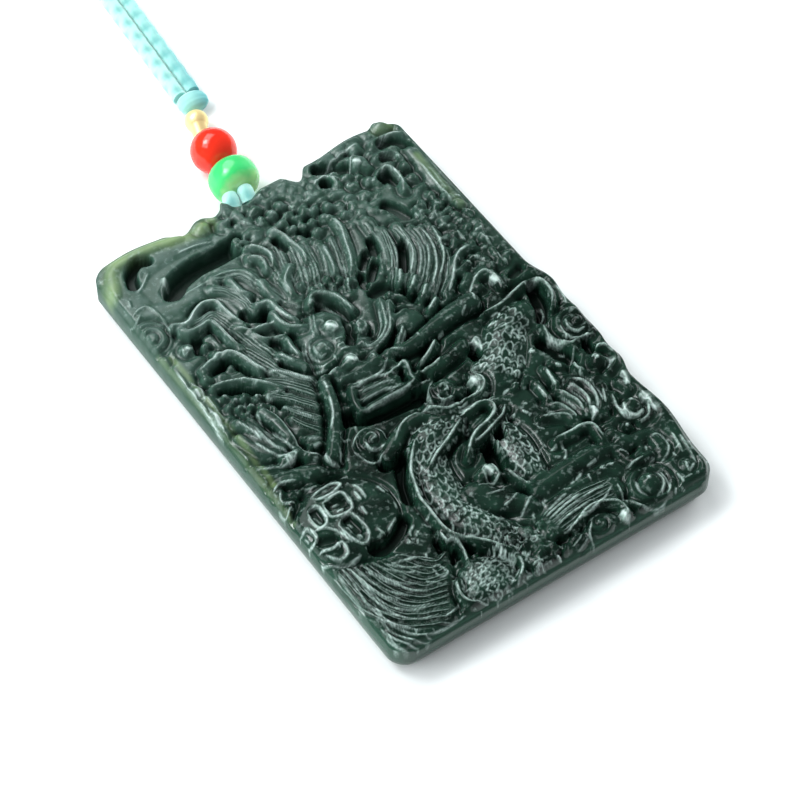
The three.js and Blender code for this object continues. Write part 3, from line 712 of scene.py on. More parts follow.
row_places = np.unique(np.concatenate([np.linspace(-1, 1, ROWS), -1 + CORNER_ROWS, 1 - CORNER_ROWS]))
u_grid, v_grid = np.meshgrid(np.linspace(-1, 1, COLUMNS), row_places)
carving = Carving(*place(u_grid, v_grid))


def carve_bands(bands, drop, moat, depth=0.0):
    """Rounded bands, each a picture route, its half widths at root and tip, its crest and any strands."""
    for route, root, tip, crest, *strands in bands:
        carving.ridge(seen(route, crest), root, tip, crest, drop, moat, *strands, depth=depth)


def carve_balls(balls):
    """Domed balls, each a picture place, a radius, a crest and any drop and cut beside it."""
    for at, radius, crest, *shape in balls:
        carving.ball(*seen([at], crest)[0], radius, crest, *shape)


def carve_scrolls(scrolls):
    """Cloud scrolls, each a picture place, a radius, a crest, its turns, its hand and where it begins."""
    for at, radius, crest, turns, hand, begin in scrolls:
        carving.whorl(*seen([at], crest)[0], radius, crest, turns, hand, begin)


def carve_hollows(hollows, height):
    """Sunk hollows, each a picture route at one height, a radius and the height of its floor."""
    for route, radius, floor in hollows:
        carving.hollow(seen(route, height), radius, floor)


def carve_lines(lines, height, width=None):
    """Sharp crest lines, each a picture route at one height, with its own width unless one is given; the
    jade's colour is painted pale along them, partly as wear and partly as highlight.
    """
    for line in lines:
        route, wide = (line, width) if width else line
        carving.line(seen(route, height), wide)


# Clouds, top left: plain swelling stone with a rounded rim, two sunk openings and a scroll on the edge.
# The openings are cut deep, and the rim is left thick round them.
carving.ridge([(-19.6, 21.5), (-19, 26.5), (-14, 28), (-8, 27.8)], 2.6, 1.7, 4.8, 0.35, 0.0)
carving.ridge([(-20.2, 25.6), (-18.6, 28.8), (-15, 29.4), (-10, 28.7)], 0.9, 0.8, 5.1, 0.5, 0.0)
carving.ridge([(-18.6, 21.4), (-15.5, 20.6), (-12, 20.8), (-9.6, 21.6)], 1.7, 1.0, 4.8, 0.4, 0.0)
OPENINGS = (
    ([(134, 291), (131, 279), (138, 269), (147, 267)], 0.5, 3),
    ([(173, 297), (179, 286), (196, 272), (216, 262), (239, 248)], 1.15, 2.3),
)
carve_hollows(OPENINGS, 3.6)
EDGE_BUMPS = (
    ((201, 226), 1, 5), ((222, 223), 0.8, 4.9), ((236, 214), 0.7, 4.9), ((133, 357), 0.8, 4.9),
    ((163, 360), 0.7, 4.8),
)
carve_balls(EDGE_BUMPS)
SCROLL = (((151, 336), 2.3, 5.1, 2.2, 1, 0.2),)
carve_scrolls(SCROLL)
CLOUD_LINES = (
    ([(148, 272), (143, 283), (137, 292)], 0.25), ([(178, 252), (195, 245), (213, 240)], 0.25),
    ([(165, 279), (161, 287), (164, 296)], 0.3),
    ([(132, 317), (139, 309), (147, 306), (156, 312), (166, 322), (171, 335)], 0.22),
    ([(128, 323), (135, 323), (141, 314)], 0.18), ([(173, 300), (190, 290), (212, 277)], 0.2),
    ([(128, 300), (131, 308)], 0.18), ([(168, 330), (175, 327), (186, 322)], 0.25),
)
carve_lines(CLOUD_LINES, 4.9)

# Clouds, top right: rolling heads and arches along the edge, carved out of rough ground.
# Each head is a small dome, and each arch a rounded band with a sharp upper edge.
carving.pebbles(-5, 21.6, 6.6, 30.4, 1.2, 0.32, 3)
carving.pebbles(6.6, 19.4, 12.6, 28.6, 1.2, 0.32, 4)
carving.pebbles(14.6, 5.4, 19.8, 17.6, 1.1, 0.7, 5)
carving.ridge([(8.2, 29), (11, 29.7), (14.5, 29.9)], 0.9, 0.8, 4.9, 0.4, 0.2)
CLOUD_ARCHES = (
    ([(374, 142), (388, 134), (402, 132)], 0.55, 0.45, 5),
    ([(374, 158), (380, 153), (388, 151), (396, 152), (404, 158)], 0.4, 0.35, 5),
    ([(377, 178), (380, 171), (387, 166), (395, 170), (402, 178), (405, 187)], 0.5, 0.5, 5.3),
    ([(345, 163), (352, 156), (360, 157), (366, 164)], 0.7, 0.6, 5.2),
)
carve_bands(CLOUD_ARCHES, 0.35, 0.2)
CLOUD_HEADS = (
    ((381, 122), 1.2, 5), ((357, 160), 1.1, 5.4), ((355, 147), 0.8, 5), ((326, 159), 0.9, 4.9),
    ((405, 163), 0.6, 5.1), ((412, 175), 0.7, 5.1), ((431, 192), 0.6, 5), ((437, 203), 0.6, 5),
    ((420, 208), 0.6, 5), ((353, 183), 0.6, 5), ((347, 175), 0.5, 5), ((369, 178), 0.6, 5),
    ((366, 192), 0.6, 5),
)
carve_balls(CLOUD_HEADS)
CLOUD_DIPS = (
    ([(380, 146), (394, 143), (408, 147)], 0.4, 3.4), ([(383, 181), (388, 178), (394, 183)], 0.45, 3.2),
    ([(316, 173), (330, 171), (346, 170)], 0.5, 3.2), ([(386, 208), (396, 211), (406, 217)], 0.6, 3.4),
    ([(325, 186), (326, 187)], 0.5, 3), ([(383, 160), (392, 159)], 0.3, 3.6),
)
carve_hollows(CLOUD_DIPS, 4)
carving.ridge([(19.2, 25.2), (19, 20), (19.2, 15)], 0.75, 0.7, 4.7, 0.5, 0.3)
CLOUD_EDGES = (
    ([(375, 140), (388, 133), (401, 131)], 0.3), ([(376, 155), (385, 151), (395, 152), (402, 157)], 0.22),
    ([(380, 172), (386, 166), (395, 170), (402, 178), (404, 186)], 0.3),
    ([(313, 184), (319, 176), (328, 174), (336, 180), (337, 189)], 0.25),
    ([(349, 166), (352, 156), (361, 154)], 0.25), ([(420, 160), (440, 185), (452, 200)], 0.25),
    ([(430, 165), (447, 187)], 0.18), ([(324, 165), (340, 152), (358, 141)], 0.3),
    ([(457, 230), (466, 238)], 0.2), ([(480, 232), (492, 243)], 0.2), ([(474, 255), (486, 258)], 0.2),
    ([(497, 252), (508, 262)], 0.2),
)
carve_lines(CLOUD_EDGES, 5.1)

# Clouds, right side: an arch and a large scroll on the edge, then balls held in curls.
# The ground between them is sunk, so that they stand clear of it.
carving.ridge([(16.4, 3.3), (19, 3.1), (20.6, 2.2)], 1.0, 0.8, 4.8, 0.3, 0.2)
SIDE_SCROLLS = (((575, 319), 2.9, 5.1, 2.6, -1, 0.1),)
carve_scrolls(SIDE_SCROLLS)
SIDE_CURLS = (
    ([(484, 313), (500, 303), (515, 290), (525, 282), (537, 278), (546, 283), (552, 293),
     (552, 304)], 0.35, 0.4, 5.4),
    ([(543, 325), (548, 333), (558, 339), (570, 341), (578, 338)], 0.3, 0.3, 5.3),
    ([(574, 346), (572, 357), (577, 366), (584, 369)], 0.35, 0.3, 5.2),
    ([(593, 346), (604, 343), (614, 348), (616, 360), (609, 368)], 0.35, 0.3, 5.1),
    ([(612, 391), (616, 402), (626, 412), (638, 413), (645, 404)], 0.4, 0.35, 5.1),
    ([(620, 379), (629, 386)], 0.5, 0.45, 5),
    ([(470, 291), (475, 277), (485, 270), (495, 274), (503, 285)], 0.5, 0.5, 5.2),
    ([(648, 399), (650, 411), (641, 420)], 0.3, 0.25, 4.9),
)
carve_bands(SIDE_CURLS, 0.3, 0.22)
SIDE_BALLS = (
    ((598, 357), 1.1, 5.5), ((632, 402), 1.2, 5.6), ((479, 285), 0.7, 5.2), ((627, 424), 0.6, 5),
    ((627, 441), 0.7, 5), ((655, 392), 0.7, 4.8),
)
carve_balls(SIDE_BALLS)
SIDE_DIPS = (
    ([(533, 290), (540, 305), (541, 318)], 0.7, 2.9), ([(543, 345), (557, 352), (570, 360)], 0.8, 2.9),
    ([(586, 344), (590, 350)], 0.35, 3.2), ([(512, 277), (520, 270)], 0.4, 3.6),
)
carve_hollows(SIDE_DIPS, 4)
SIDE_LINES = (
    ([(484, 312), (500, 303), (515, 290), (525, 282), (537, 278), (546, 283), (552, 293),
     (552, 303)], 0.25), ([(565, 317), (569, 326), (578, 329), (585, 325)], 0.2),
    ([(560, 322), (565, 331), (575, 335), (592, 331)], 0.22),
    ([(543, 325), (548, 333), (558, 339), (570, 341), (577, 338)], 0.28),
    ([(574, 346), (572, 357), (577, 366), (584, 368)], 0.22),
    ([(606, 352), (610, 358), (608, 366)], 0.22), ([(595, 345), (605, 343), (615, 350)], 0.25),
    ([(612, 392), (618, 405), (626, 413), (638, 413), (644, 405)], 0.25),
    ([(648, 400), (649, 412), (641, 420)], 0.22), ([(555, 280), (563, 290), (567, 300)], 0.35),
    ([(470, 290), (475, 276), (485, 270), (495, 275), (502, 285)], 0.25),
    ([(541, 297), (544, 305), (541, 313)], 0.2), ([(568, 310), (578, 306), (588, 313)], 0.2),
    ([(620, 372), (630, 380)], 0.25),
)
carve_lines(SIDE_LINES, 5.2)

# Mane, left of the head: locks of fine strands that curl over at their tips, with rough ground between.
# The strands are combed into each lock, and the lips of the curls are left as sharp crests.
LEFT_DIPS = (
    ([(246, 318), (258, 319), (270, 317)], 0.55, 3.2),
    ([(217, 371), (226, 364), (238, 365), (249, 372)], 0.5, 3.1),
    ([(222, 391), (245, 389), (263, 392), (276, 401), (290, 412)], 0.45, 3.2),
    ([(197, 342), (200, 352)], 0.4, 3.4), ([(192, 319), (200, 309), (212, 306), (224, 314)], 0.3, 3.8),
    ([(186, 336), (196, 338), (206, 332), (214, 331), (224, 341)], 0.35, 3.6),
    ([(228, 343), (240, 352)], 0.3, 3.6),
)
carve_hollows(LEFT_DIPS, 4)
LEFT_LOCKS = (
    ([(213, 287), (228, 289), (243, 297), (255, 309)], 0.7, 0.6, 5.1, 4),
    ([(300, 356), (280, 358), (258, 343), (240, 330), (222, 317), (212, 313), (200, 320),
     (190, 326)], 1.1, 0.6, 5.4, 5),
    ([(318, 381), (296, 376), (276, 367), (258, 356), (240, 345)], 0.9, 0.6, 5.3, 4),
    ([(318, 392), (300, 386), (280, 381), (262, 378)], 0.7, 0.6, 5.1, 4),
    ([(318, 404), (300, 399), (284, 394), (266, 392)], 0.6, 0.5, 5, 4),
    ([(320, 417), (302, 412), (286, 406)], 0.6, 0.45, 5, 4),
    ([(322, 428), (306, 424), (292, 417)], 0.5, 0.4, 4.9, 3),
)
carve_bands(LEFT_LOCKS, 0.4, 0.2, 0.14)
LEFT_LIPS = (
    ([(173, 325), (188, 322), (195, 311), (203, 303), (215, 301), (222, 307), (232, 316),
     (243, 323)], 0.45, 0.4, 5.4),
    ([(182, 329), (190, 331), (200, 327), (210, 321), (217, 325), (228, 336), (240, 347)], 0.4, 0.3, 5.6),
    ([(203, 368), (212, 360), (220, 353), (232, 352), (245, 358), (260, 368)], 0.5, 0.5, 5.5),
    ([(213, 385), (230, 381), (245, 379), (265, 382), (280, 387)], 0.4, 0.35, 5.3),
    ([(236, 327), (250, 329), (262, 326), (276, 321)], 0.4, 0.4, 5.4),
    ([(252, 333), (264, 338), (276, 337), (285, 333)], 0.35, 0.35, 5.4),
)
carve_bands(LEFT_LIPS, 0.3, 0.2)
LEFT_CRUMBS = (
    ((205, 345), 0.55, 5), ((214, 352), 0.5, 5), ((186, 348), 0.8, 5), ((226, 396), 0.5, 5),
    ((236, 398), 0.5, 5), ((246, 395), 0.55, 5.1), ((257, 396), 0.5, 5), ((230, 405), 0.5, 4.9),
    ((241, 406), 0.5, 5), ((252, 405), 0.5, 5), ((262, 404), 0.45, 5), ((247, 414), 0.5, 4.9),
    ((231, 366), 0.35, 4.6), ((206, 378), 0.6, 4.9), ((196, 390), 0.7, 4.8), ((215, 417), 0.7, 4.8),
)
carve_balls(LEFT_CRUMBS)
LEFT_LINES = (
    ([(173, 324), (188, 321), (195, 310), (203, 302), (215, 300), (222, 306), (232, 315),
     (243, 322)], 0.38),
    ([(182, 328), (190, 330), (200, 326), (210, 320), (217, 324), (228, 335), (240, 346)], 0.3),
    ([(203, 367), (212, 359), (220, 352), (232, 351), (245, 357), (260, 367), (285, 371),
     (318, 379)], 0.38), ([(213, 384), (230, 380), (245, 378), (265, 381), (280, 385)], 0.3),
    ([(236, 326), (250, 328), (262, 325), (276, 320)], 0.3),
    ([(252, 332), (264, 337), (276, 336), (285, 332)], 0.2), ([(265, 393), (280, 389), (295, 391)], 0.18),
    ([(273, 399), (290, 401), (306, 405)], 0.18), ([(280, 404), (300, 410), (318, 416)], 0.18),
    ([(181, 343), (193, 341), (185, 352), (181, 343)], 0.2),
    ([(205, 390), (212, 400), (222, 412), (229, 416)], 0.2),
    ([(175, 367), (190, 387), (205, 407), (224, 437)], 0.3), ([(188, 378), (200, 384), (205, 397)], 0.38),
    ([(208, 404), (218, 414), (224, 428)], 0.38), ([(215, 293), (235, 300), (248, 310)], 0.18),
    ([(222, 286), (240, 292), (252, 301)], 0.18),
)
carve_lines(LEFT_LINES, 5.4)

# Mane, above the head: wavy strands, with crescent tips against the rough ground.
# The locks lie low and close together, parted by small deep cuts.
CROWN_LOCKS = (
    ([(300, 300), (282, 296), (262, 284), (245, 273), (228, 273), (213, 278)], 0.9, 0.6, 5, 3),
    ([(296, 296), (284, 282), (272, 266), (258, 257), (246, 252)], 0.8, 0.5, 5, 3),
    ([(298, 290), (288, 272), (280, 252), (271, 238)], 0.8, 0.5, 5, 3),
    ([(308, 288), (302, 270), (296, 252), (284, 238)], 0.8, 0.5, 5.1, 3),
    ([(320, 288), (315, 270), (310, 256), (302, 243)], 0.8, 0.6, 5.1, 3),
    ([(334, 290), (330, 272), (325, 255), (318, 242)], 0.8, 0.6, 5.1, 3),
    ([(348, 292), (345, 274), (340, 256), (332, 238)], 0.8, 0.6, 5.1, 3),
    ([(353, 276), (351, 262), (347, 244), (340, 228), (332, 214)], 0.7, 0.5, 5.1, 3),
    ([(388, 264), (386, 248), (378, 234), (367, 220)], 0.9, 0.8, 5.2, 3),
)
carve_bands(CROWN_LOCKS, 0.2, 0.1, 0.06)
CROWN_DIPS = (
    ([(371, 243), (375, 253)], 0.35, 3.3), ([(366, 255), (363, 267)], 0.3, 3.3),
    ([(375, 265), (371, 279)], 0.3, 3.4), ([(361, 277), (365, 287)], 0.25, 3.4),
    ([(296, 230), (306, 234)], 0.4, 3.3), ([(276, 244), (284, 250)], 0.3, 3.5),
)
carve_hollows(CROWN_DIPS, 4.2)
BROW_CRUMBS = (
    ((322, 284), 0.4, 5.3), ((334, 281), 0.4, 5.3), ((345, 284), 0.4, 5.3), ((328, 277), 0.4, 5.3),
    ((340, 276), 0.4, 5.3), ((350, 278), 0.4, 5.3), ((312, 287), 0.4, 5.3), ((301, 284), 0.4, 5.3),
)
carve_balls(BROW_CRUMBS)
CRESCENTS = (
    ([(247, 246), (260, 247), (270, 253), (273, 263)], 0.45, 0.25, 5.3),
    ([(249, 256), (261, 258), (267, 268)], 0.4, 0.25, 5.3),
    ([(272, 229), (282, 233), (290, 240), (300, 248), (307, 259)], 0.4, 0.3, 5.3),
    ([(290, 265), (285, 279), (292, 293)], 0.5, 0.35, 5.3),
    ([(323, 245), (330, 258), (335, 271)], 0.4, 0.3, 5.3),
    ([(330, 215), (340, 225), (346, 240), (350, 255), (352, 269)], 0.45, 0.35, 5.3),
    ([(262, 280), (268, 290), (276, 298)], 0.4, 0.3, 5.3),
    ([(229, 279), (240, 289), (249, 293)], 0.4, 0.35, 5.2),
)
carve_bands(CRESCENTS, 0.25, 0.2)
CROWN_PEBBLES = (
    ((280, 204), 0.6, 5.1), ((288, 213), 0.6, 5.1), ((299, 215), 0.6, 5.1), ((303, 223), 0.6, 5.1),
    ((313, 219), 0.6, 5.1), ((292, 226), 0.6, 5.1), ((305, 208), 0.6, 5.1), ((315, 207), 0.6, 5.1),
    ((255, 208), 0.6, 5.1), ((262, 217), 0.6, 5.1), ((272, 212), 0.6, 5.1), ((324, 215), 0.6, 5.1),
    ((318, 229), 0.6, 5.1), ((282, 221), 0.6, 5.1), ((338, 203), 0.6, 5.1), ((345, 212), 0.6, 5.1),
    ((328, 204), 0.6, 5.1),
)
carve_balls(CROWN_PEBBLES)
CROWN_LINES = (
    ([(214, 275), (230, 270), (245, 270), (258, 280), (265, 292)], 0.22),
    ([(248, 245), (260, 247), (270, 253), (273, 262)], 0.28),
    ([(250, 255), (262, 258), (267, 268)], 0.25),
    ([(272, 229), (282, 233), (290, 240), (300, 248), (307, 258)], 0.25),
    ([(290, 265), (285, 280), (292, 292)], 0.25), ([(323, 245), (330, 258), (335, 270)], 0.25),
    ([(330, 215), (340, 225), (345, 240), (350, 255), (352, 268)], 0.25),
    ([(230, 280), (240, 290), (248, 292)], 0.25), ([(303, 262), (307, 276), (309, 288)], 0.2),
    ([(313, 258), (318, 272), (322, 286)], 0.2), ([(343, 262), (347, 276), (349, 290)], 0.2),
    ([(277, 268), (281, 280), (288, 292)], 0.18),
)
carve_lines(CROWN_LINES, 5.2)

# Mane, right of the head: broad locks sweeping up and out, with small leaf tips between them.
# Their long edges are sharp, and two hollows part them from the head.
SWEPT_LOCKS = (
    ([(393, 292), (396, 270), (392, 248), (383, 228)], 0.7, 0.6, 5.1, 4),
    ([(405, 290), (410, 272), (412, 252), (407, 238), (397, 225)], 1, 0.8, 5.3, 3),
    ([(418, 290), (426, 272), (427, 252), (420, 236), (412, 226)], 0.8, 0.6, 5.2, 3),
    ([(428, 292), (435, 272), (436, 252), (430, 237), (421, 226)], 0.6, 0.5, 5.2, 2),
    ([(436, 295), (441, 275), (444, 255), (440, 240), (432, 226)], 0.55, 0.4, 5.2, 2),
    ([(443, 300), (449, 280), (450, 262), (446, 248)], 0.5, 0.4, 5.1, 2),
    ([(447, 298), (453, 276), (455, 260), (461, 250), (471, 244)], 0.5, 0.45, 5.3, 1),
)
carve_bands(SWEPT_LOCKS, 0.3, 0.25, 0.08)
SWEPT_DIPS = (
    ([(403, 247), (404, 259), (404, 272)], 0.35, 3.2),
    ([(373, 294), (385, 288), (397, 290), (411, 296)], 0.5, 3.3),
)
carve_hollows(SWEPT_DIPS, 4.2)
LEAF_TIPS = (
    ([(400, 281), (400, 269)], 0.4, 0.3, 5.4), ([(412, 286), (415, 275)], 0.4, 0.3, 5.4),
    ([(423, 295), (426, 284)], 0.4, 0.3, 5.4), ([(430, 309), (436, 297)], 0.45, 0.3, 5.4),
    ([(396, 314), (406, 309)], 0.35, 0.3, 5.5), ([(446, 290), (449, 280)], 0.35, 0.25, 5.4),
    ([(460, 270), (468, 260)], 0.4, 0.3, 5.3), ([(464, 283), (468, 273)], 0.4, 0.3, 5.2),
)
carve_bands(LEAF_TIPS, 0.2, 0.22)
SWEPT_LINES = (
    ([(397, 224), (408, 240), (413, 252), (411, 272)], 0.3),
    ([(404, 226), (417, 240), (421, 254), (419, 274)], 0.22),
    ([(421, 226), (430, 237), (436, 252), (436, 270), (432, 281)], 0.25),
    ([(432, 225), (440, 240), (444, 255), (440, 275)], 0.25),
    ([(470, 244), (460, 250), (455, 260), (453, 275), (449, 291)], 0.3),
    ([(448, 258), (446, 275), (441, 290)], 0.2), ([(384, 228), (393, 242), (397, 256), (396, 272)], 0.25),
    ([(400, 281), (400, 269)], 0.3), ([(412, 286), (415, 275)], 0.3), ([(423, 295), (426, 284)], 0.3),
    ([(429, 309), (436, 297)], 0.3), ([(396, 314), (406, 309)], 0.28),
    ([(389, 240), (392, 256), (391, 274)], 0.18), ([(427, 240), (429, 256), (426, 274)], 0.18),
)
carve_lines(SWEPT_LINES, 5.3)

# Body: scaly coils behind head and paws, edged by a smooth belly line, with a scaly neck on the right.
# The scales are cut in rows over each coil, and short tool marks are left on the ground beside them.
NECK = [(8.2, -7), (11, -4.6), (12.6, -2.6), (15.4, -1.6)]
carving.ridge(NECK, 2.6, 2.0, 5.4, 1.1)
carving.scales(NECK, 2.6, 2.0, 1.15, 11)
MAIN_COIL = [(2.6, -9.2), (-2.6, -10.2), (-5.2, -13.6), (-5.6, -19), (-4.4, -23.6), (-1.6, -28.6)]
carving.ridge(MAIN_COIL, 2.4, 2.5, 5.6, 1.1, 0.4)
carving.scales(MAIN_COIL, 2.3, 2.4, 1.15, 12)
SECOND_COIL = [(3.4, -12), (4.4, -15.6), (3.6, -20.4)]
carving.ridge(SECOND_COIL, 2.0, 1.9, 5.5, 1.0, 0.4)
carving.scales(SECOND_COIL, 1.9, 1.8, 1.1, 13)
carving.pebbles(-3.4, -30.6, 1.2, -24.6, 1.0, 0.7, 9)
carving.pebbles(8, -9.6, 12, -6.4, 1.0, 0.6, 10)
CHIPPED = (
    (-4, -30.5, 2, -23, 30, 21), (2, -24, 12, -22.5, 14, 22), (6, -18, 9, -10, 14, 23),
    (-18.5, 2.5, -13.5, 8, 20, 24), (-12, -24, -8.5, -17, 22, 25), (12, -14, 20, -6, 14, 26),
    (-4, 22, 12, 29, 40, 27), (14, 5, 20, 17, 24, 28), (-18, -30.6, -10, -28.5, 14, 29),
    (-12, -31, 18, -29.6, 40, 30), (14, -30, 20.5, -24, 16, 31), (-20, -10, -8, -4, 16, 32),
)
for x0, y0, x1, y1, count, seed in CHIPPED:
    carving.chips(x0, y0, x1, y1, count, seed)
BODY_DIPS = (
    ([(482, 440), (490, 452), (496, 466)], 0.7, 2.7), ([(500, 440), (496, 428)], 0.4, 3.2),
    ([(350, 420), (372, 417), (396, 408), (422, 396)], 1, 2.9), ([(455, 556), (470, 549)], 0.5, 3.2),
    ([(440, 545), (450, 560)], 0.5, 3.3), ([(400, 460), (404, 480), (410, 500)], 0.7, 3),
    ([(392, 455), (385, 468)], 0.6, 3), ([(470, 350), (476, 358)], 0.4, 3),
)
carve_hollows(BODY_DIPS, 4)
THIGH = (([(478, 490), (500, 498), (530, 500)], 1.8, 1.2, 5.3),)
carve_bands(THIGH, 0.7, 0.3)
BODY_RIDGES = (
    ([(455, 418), (470, 410), (478, 403), (487, 401), (494, 405), (494, 412), (488, 420), (478, 429),
     (472, 438), (468, 455)], 0.4, 0.3, 6),
    ([(505, 404), (503, 413), (497, 420), (485, 433), (475, 441)], 0.3, 0.25, 5.6),
    ([(460, 420), (447, 440), (437, 453), (430, 466)], 0.35, 0.35, 5.8),
    ([(415, 440), (412, 455), (411, 470), (414, 481), (420, 497), (428, 507), (440, 522), (455, 533),
     (475, 538), (490, 541), (512, 548)], 0.28, 0.3, 5.8),
    ([(440, 530), (447, 538), (455, 537), (462, 545), (470, 562)], 0.25, 0.2, 5.3),
    ([(481, 474), (490, 466), (500, 474)], 0.55, 0.5, 5.2),
    ([(508, 469), (520, 478), (533, 482)], 0.3, 0.25, 5.6),
)
carve_bands(BODY_RIDGES, 0.25, 0.22)
BODY_LINES = (
    ([(455, 417), (470, 409), (478, 402), (487, 400), (494, 404), (494, 411), (488, 419), (478, 428),
     (472, 437), (468, 454)], 0.28), ([(505, 403), (503, 412), (497, 419), (485, 432), (475, 440)], 0.22),
    ([(460, 419), (447, 439), (437, 452), (430, 465)], 0.28),
    ([(415, 439), (412, 454), (411, 469), (414, 480), (420, 496), (428, 506), (440, 521), (455, 532),
     (475, 537), (490, 540), (512, 547)], 0.28),
    ([(440, 529), (447, 537), (455, 536), (462, 544), (470, 561)], 0.22),
    ([(478, 482), (490, 478)], 0.22), ([(488, 492), (498, 488), (505, 481)], 0.22),
    ([(504, 503), (512, 497), (520, 484)], 0.22), ([(521, 511), (528, 500), (533, 486)], 0.22),
    ([(508, 468), (520, 477), (533, 481)], 0.25),
    ([(482, 466), (489, 458), (499, 471), (490, 477), (482, 466)], 0.22),
    ([(448, 411), (470, 399), (492, 385)], 0.18), ([(455, 411), (476, 399), (496, 389)], 0.18),
    ([(462, 413), (482, 398), (500, 392)], 0.18), ([(446, 406), (466, 394), (488, 381)], 0.16),
    ([(505, 552), (513, 555), (513, 563), (508, 570)], 0.2),
    ([(488, 549), (496, 557), (499, 563), (490, 561)], 0.2), ([(503, 388), (509, 384)], 0.25),
    ([(513, 381), (519, 376)], 0.2), ([(487, 322), (500, 318)], 0.18), ([(493, 328), (510, 321)], 0.18),
)
carve_lines(BODY_LINES, 5.8)

# Ribbon cloud under the chin: a smooth arch between two scrolls, over the upper coil.
# Sharp lines follow its edges, and two balls close its right end.
RIBBON_SCROLLS = (
    ((371, 438), 1.9, 5.5, 2, -1, 0.1), ((444, 388), 1.9, 5.5, 2, 1, 0.4),
)
carve_scrolls(RIBBON_SCROLLS)
RIBBON = (
    ([(388, 452), (394, 440), (402, 428), (412, 419), (425, 414), (440, 413), (452, 409)], 0.9, 0.7, 5.4),
    ([(425, 404), (433, 406), (447, 407), (457, 403), (468, 396)], 0.3, 0.3, 5.6),
    ([(470, 371), (481, 375), (484, 383), (478, 392), (467, 398)], 0.4, 0.35, 5.7),
    ([(420, 377), (430, 376)], 0.45, 0.4, 5.2),
)
carve_bands(RIBBON, 0.45, 0.3)
RIBBON_BALLS = (
    ((474, 381), 0.9, 5.6), ((461, 388), 0.7, 5.4),
)
carve_balls(RIBBON_BALLS)
RIBBON_LINES = (
    ([(395, 440), (400, 425), (408, 415), (418, 410), (432, 406), (447, 407), (455, 404),
     (467, 397)], 0.25), ([(433, 375), (428, 385), (429, 394), (435, 400), (447, 400), (457, 396)], 0.22),
    ([(437, 391), (441, 397), (448, 397), (453, 393)], 0.2),
    ([(439, 386), (443, 382), (448, 386), (444, 390)], 0.2),
    ([(470, 370), (482, 375), (484, 383), (478, 392), (467, 398)], 0.25),
    ([(352, 441), (356, 433), (362, 428), (371, 424), (380, 425), (387, 433)], 0.25),
    ([(365, 440), (370, 447), (380, 445), (386, 440)], 0.22),
    ([(353, 446), (361, 452), (373, 459), (385, 450)], 0.22),
    ([(366, 434), (371, 430), (376, 434), (372, 439)], 0.2), ([(421, 377), (430, 375)], 0.3),
    ([(422, 400), (428, 404)], 0.22), ([(468, 374), (478, 377), (479, 386), (471, 390)], 0.2),
)
carve_lines(RIBBON_LINES, 5.6)

# Left paw: curved claws drawn together at the wrist, and the plain forearm below it.
# A few square bends are cut beside the forearm.
FOREARM = (([(255, 474), (285, 474), (310, 470), (330, 464)], 1.3, 1.3, 5.1),)
carve_bands(FOREARM, 0.7, 0.3)
LEFT_CLAWS = (
    ([(262, 410), (274, 418), (283, 428), (292, 440), (298, 448)], 0.65, 0.5, 5.5),
    ([(250, 420), (260, 430), (270, 437), (282, 444), (296, 449)], 0.6, 0.5, 5.3),
    ([(238, 421), (248, 428), (258, 438), (268, 445), (282, 450), (296, 451)], 0.55, 0.5, 5.2),
    ([(240, 436), (252, 444), (264, 451), (280, 455), (292, 455)], 0.5, 0.45, 5),
    ([(252, 468), (268, 467), (285, 462), (294, 456)], 0.45, 0.45, 4.9),
    ([(298, 448), (308, 453), (322, 455)], 0.6, 0.5, 5.2), ([(306, 437), (323, 434)], 0.4, 0.3, 5),
    ([(311, 444), (323, 440)], 0.4, 0.3, 5), ([(284, 458), (296, 452)], 0.5, 0.5, 5.1),
)
carve_bands(LEFT_CLAWS, 0.35, 0.28)
FRET = (
    ([(273, 490), (280, 482), (297, 479)], 0.3, 0.3, 5),
    ([(280, 490), (282, 500), (296, 500)], 0.3, 0.3, 5),
    ([(278, 503), (285, 513), (293, 505)], 0.3, 0.3, 5), ([(304, 488), (316, 483)], 0.3, 0.3, 5),
)
carve_bands(FRET, 0.15, 0.2)
LEFT_PAW_LINES = (
    ([(266, 408), (277, 414), (285, 423), (293, 435), (302, 445), (310, 451), (321, 453)], 0.3),
    ([(271, 427), (279, 434), (286, 440), (295, 445)], 0.25),
    ([(254, 424), (262, 433), (270, 440), (277, 445), (290, 448)], 0.25),
    ([(254, 440), (265, 447), (275, 452), (290, 453)], 0.25), ([(256, 410), (263, 424)], 0.22),
    ([(237, 420), (245, 425), (255, 431), (262, 438)], 0.28),
    ([(284, 451), (296, 451), (290, 461), (284, 451)], 0.25),
    ([(255, 468), (270, 466), (285, 462), (293, 457)], 0.22), ([(307, 436), (323, 434)], 0.25),
    ([(313, 444), (322, 440)], 0.25), ([(273, 489), (280, 481), (297, 478)], 0.22),
    ([(280, 490), (282, 500), (295, 499)], 0.22), ([(278, 503), (285, 512), (292, 504)], 0.2),
    ([(304, 487), (316, 482)], 0.22),
)
carve_lines(LEFT_PAW_LINES, 5.4)

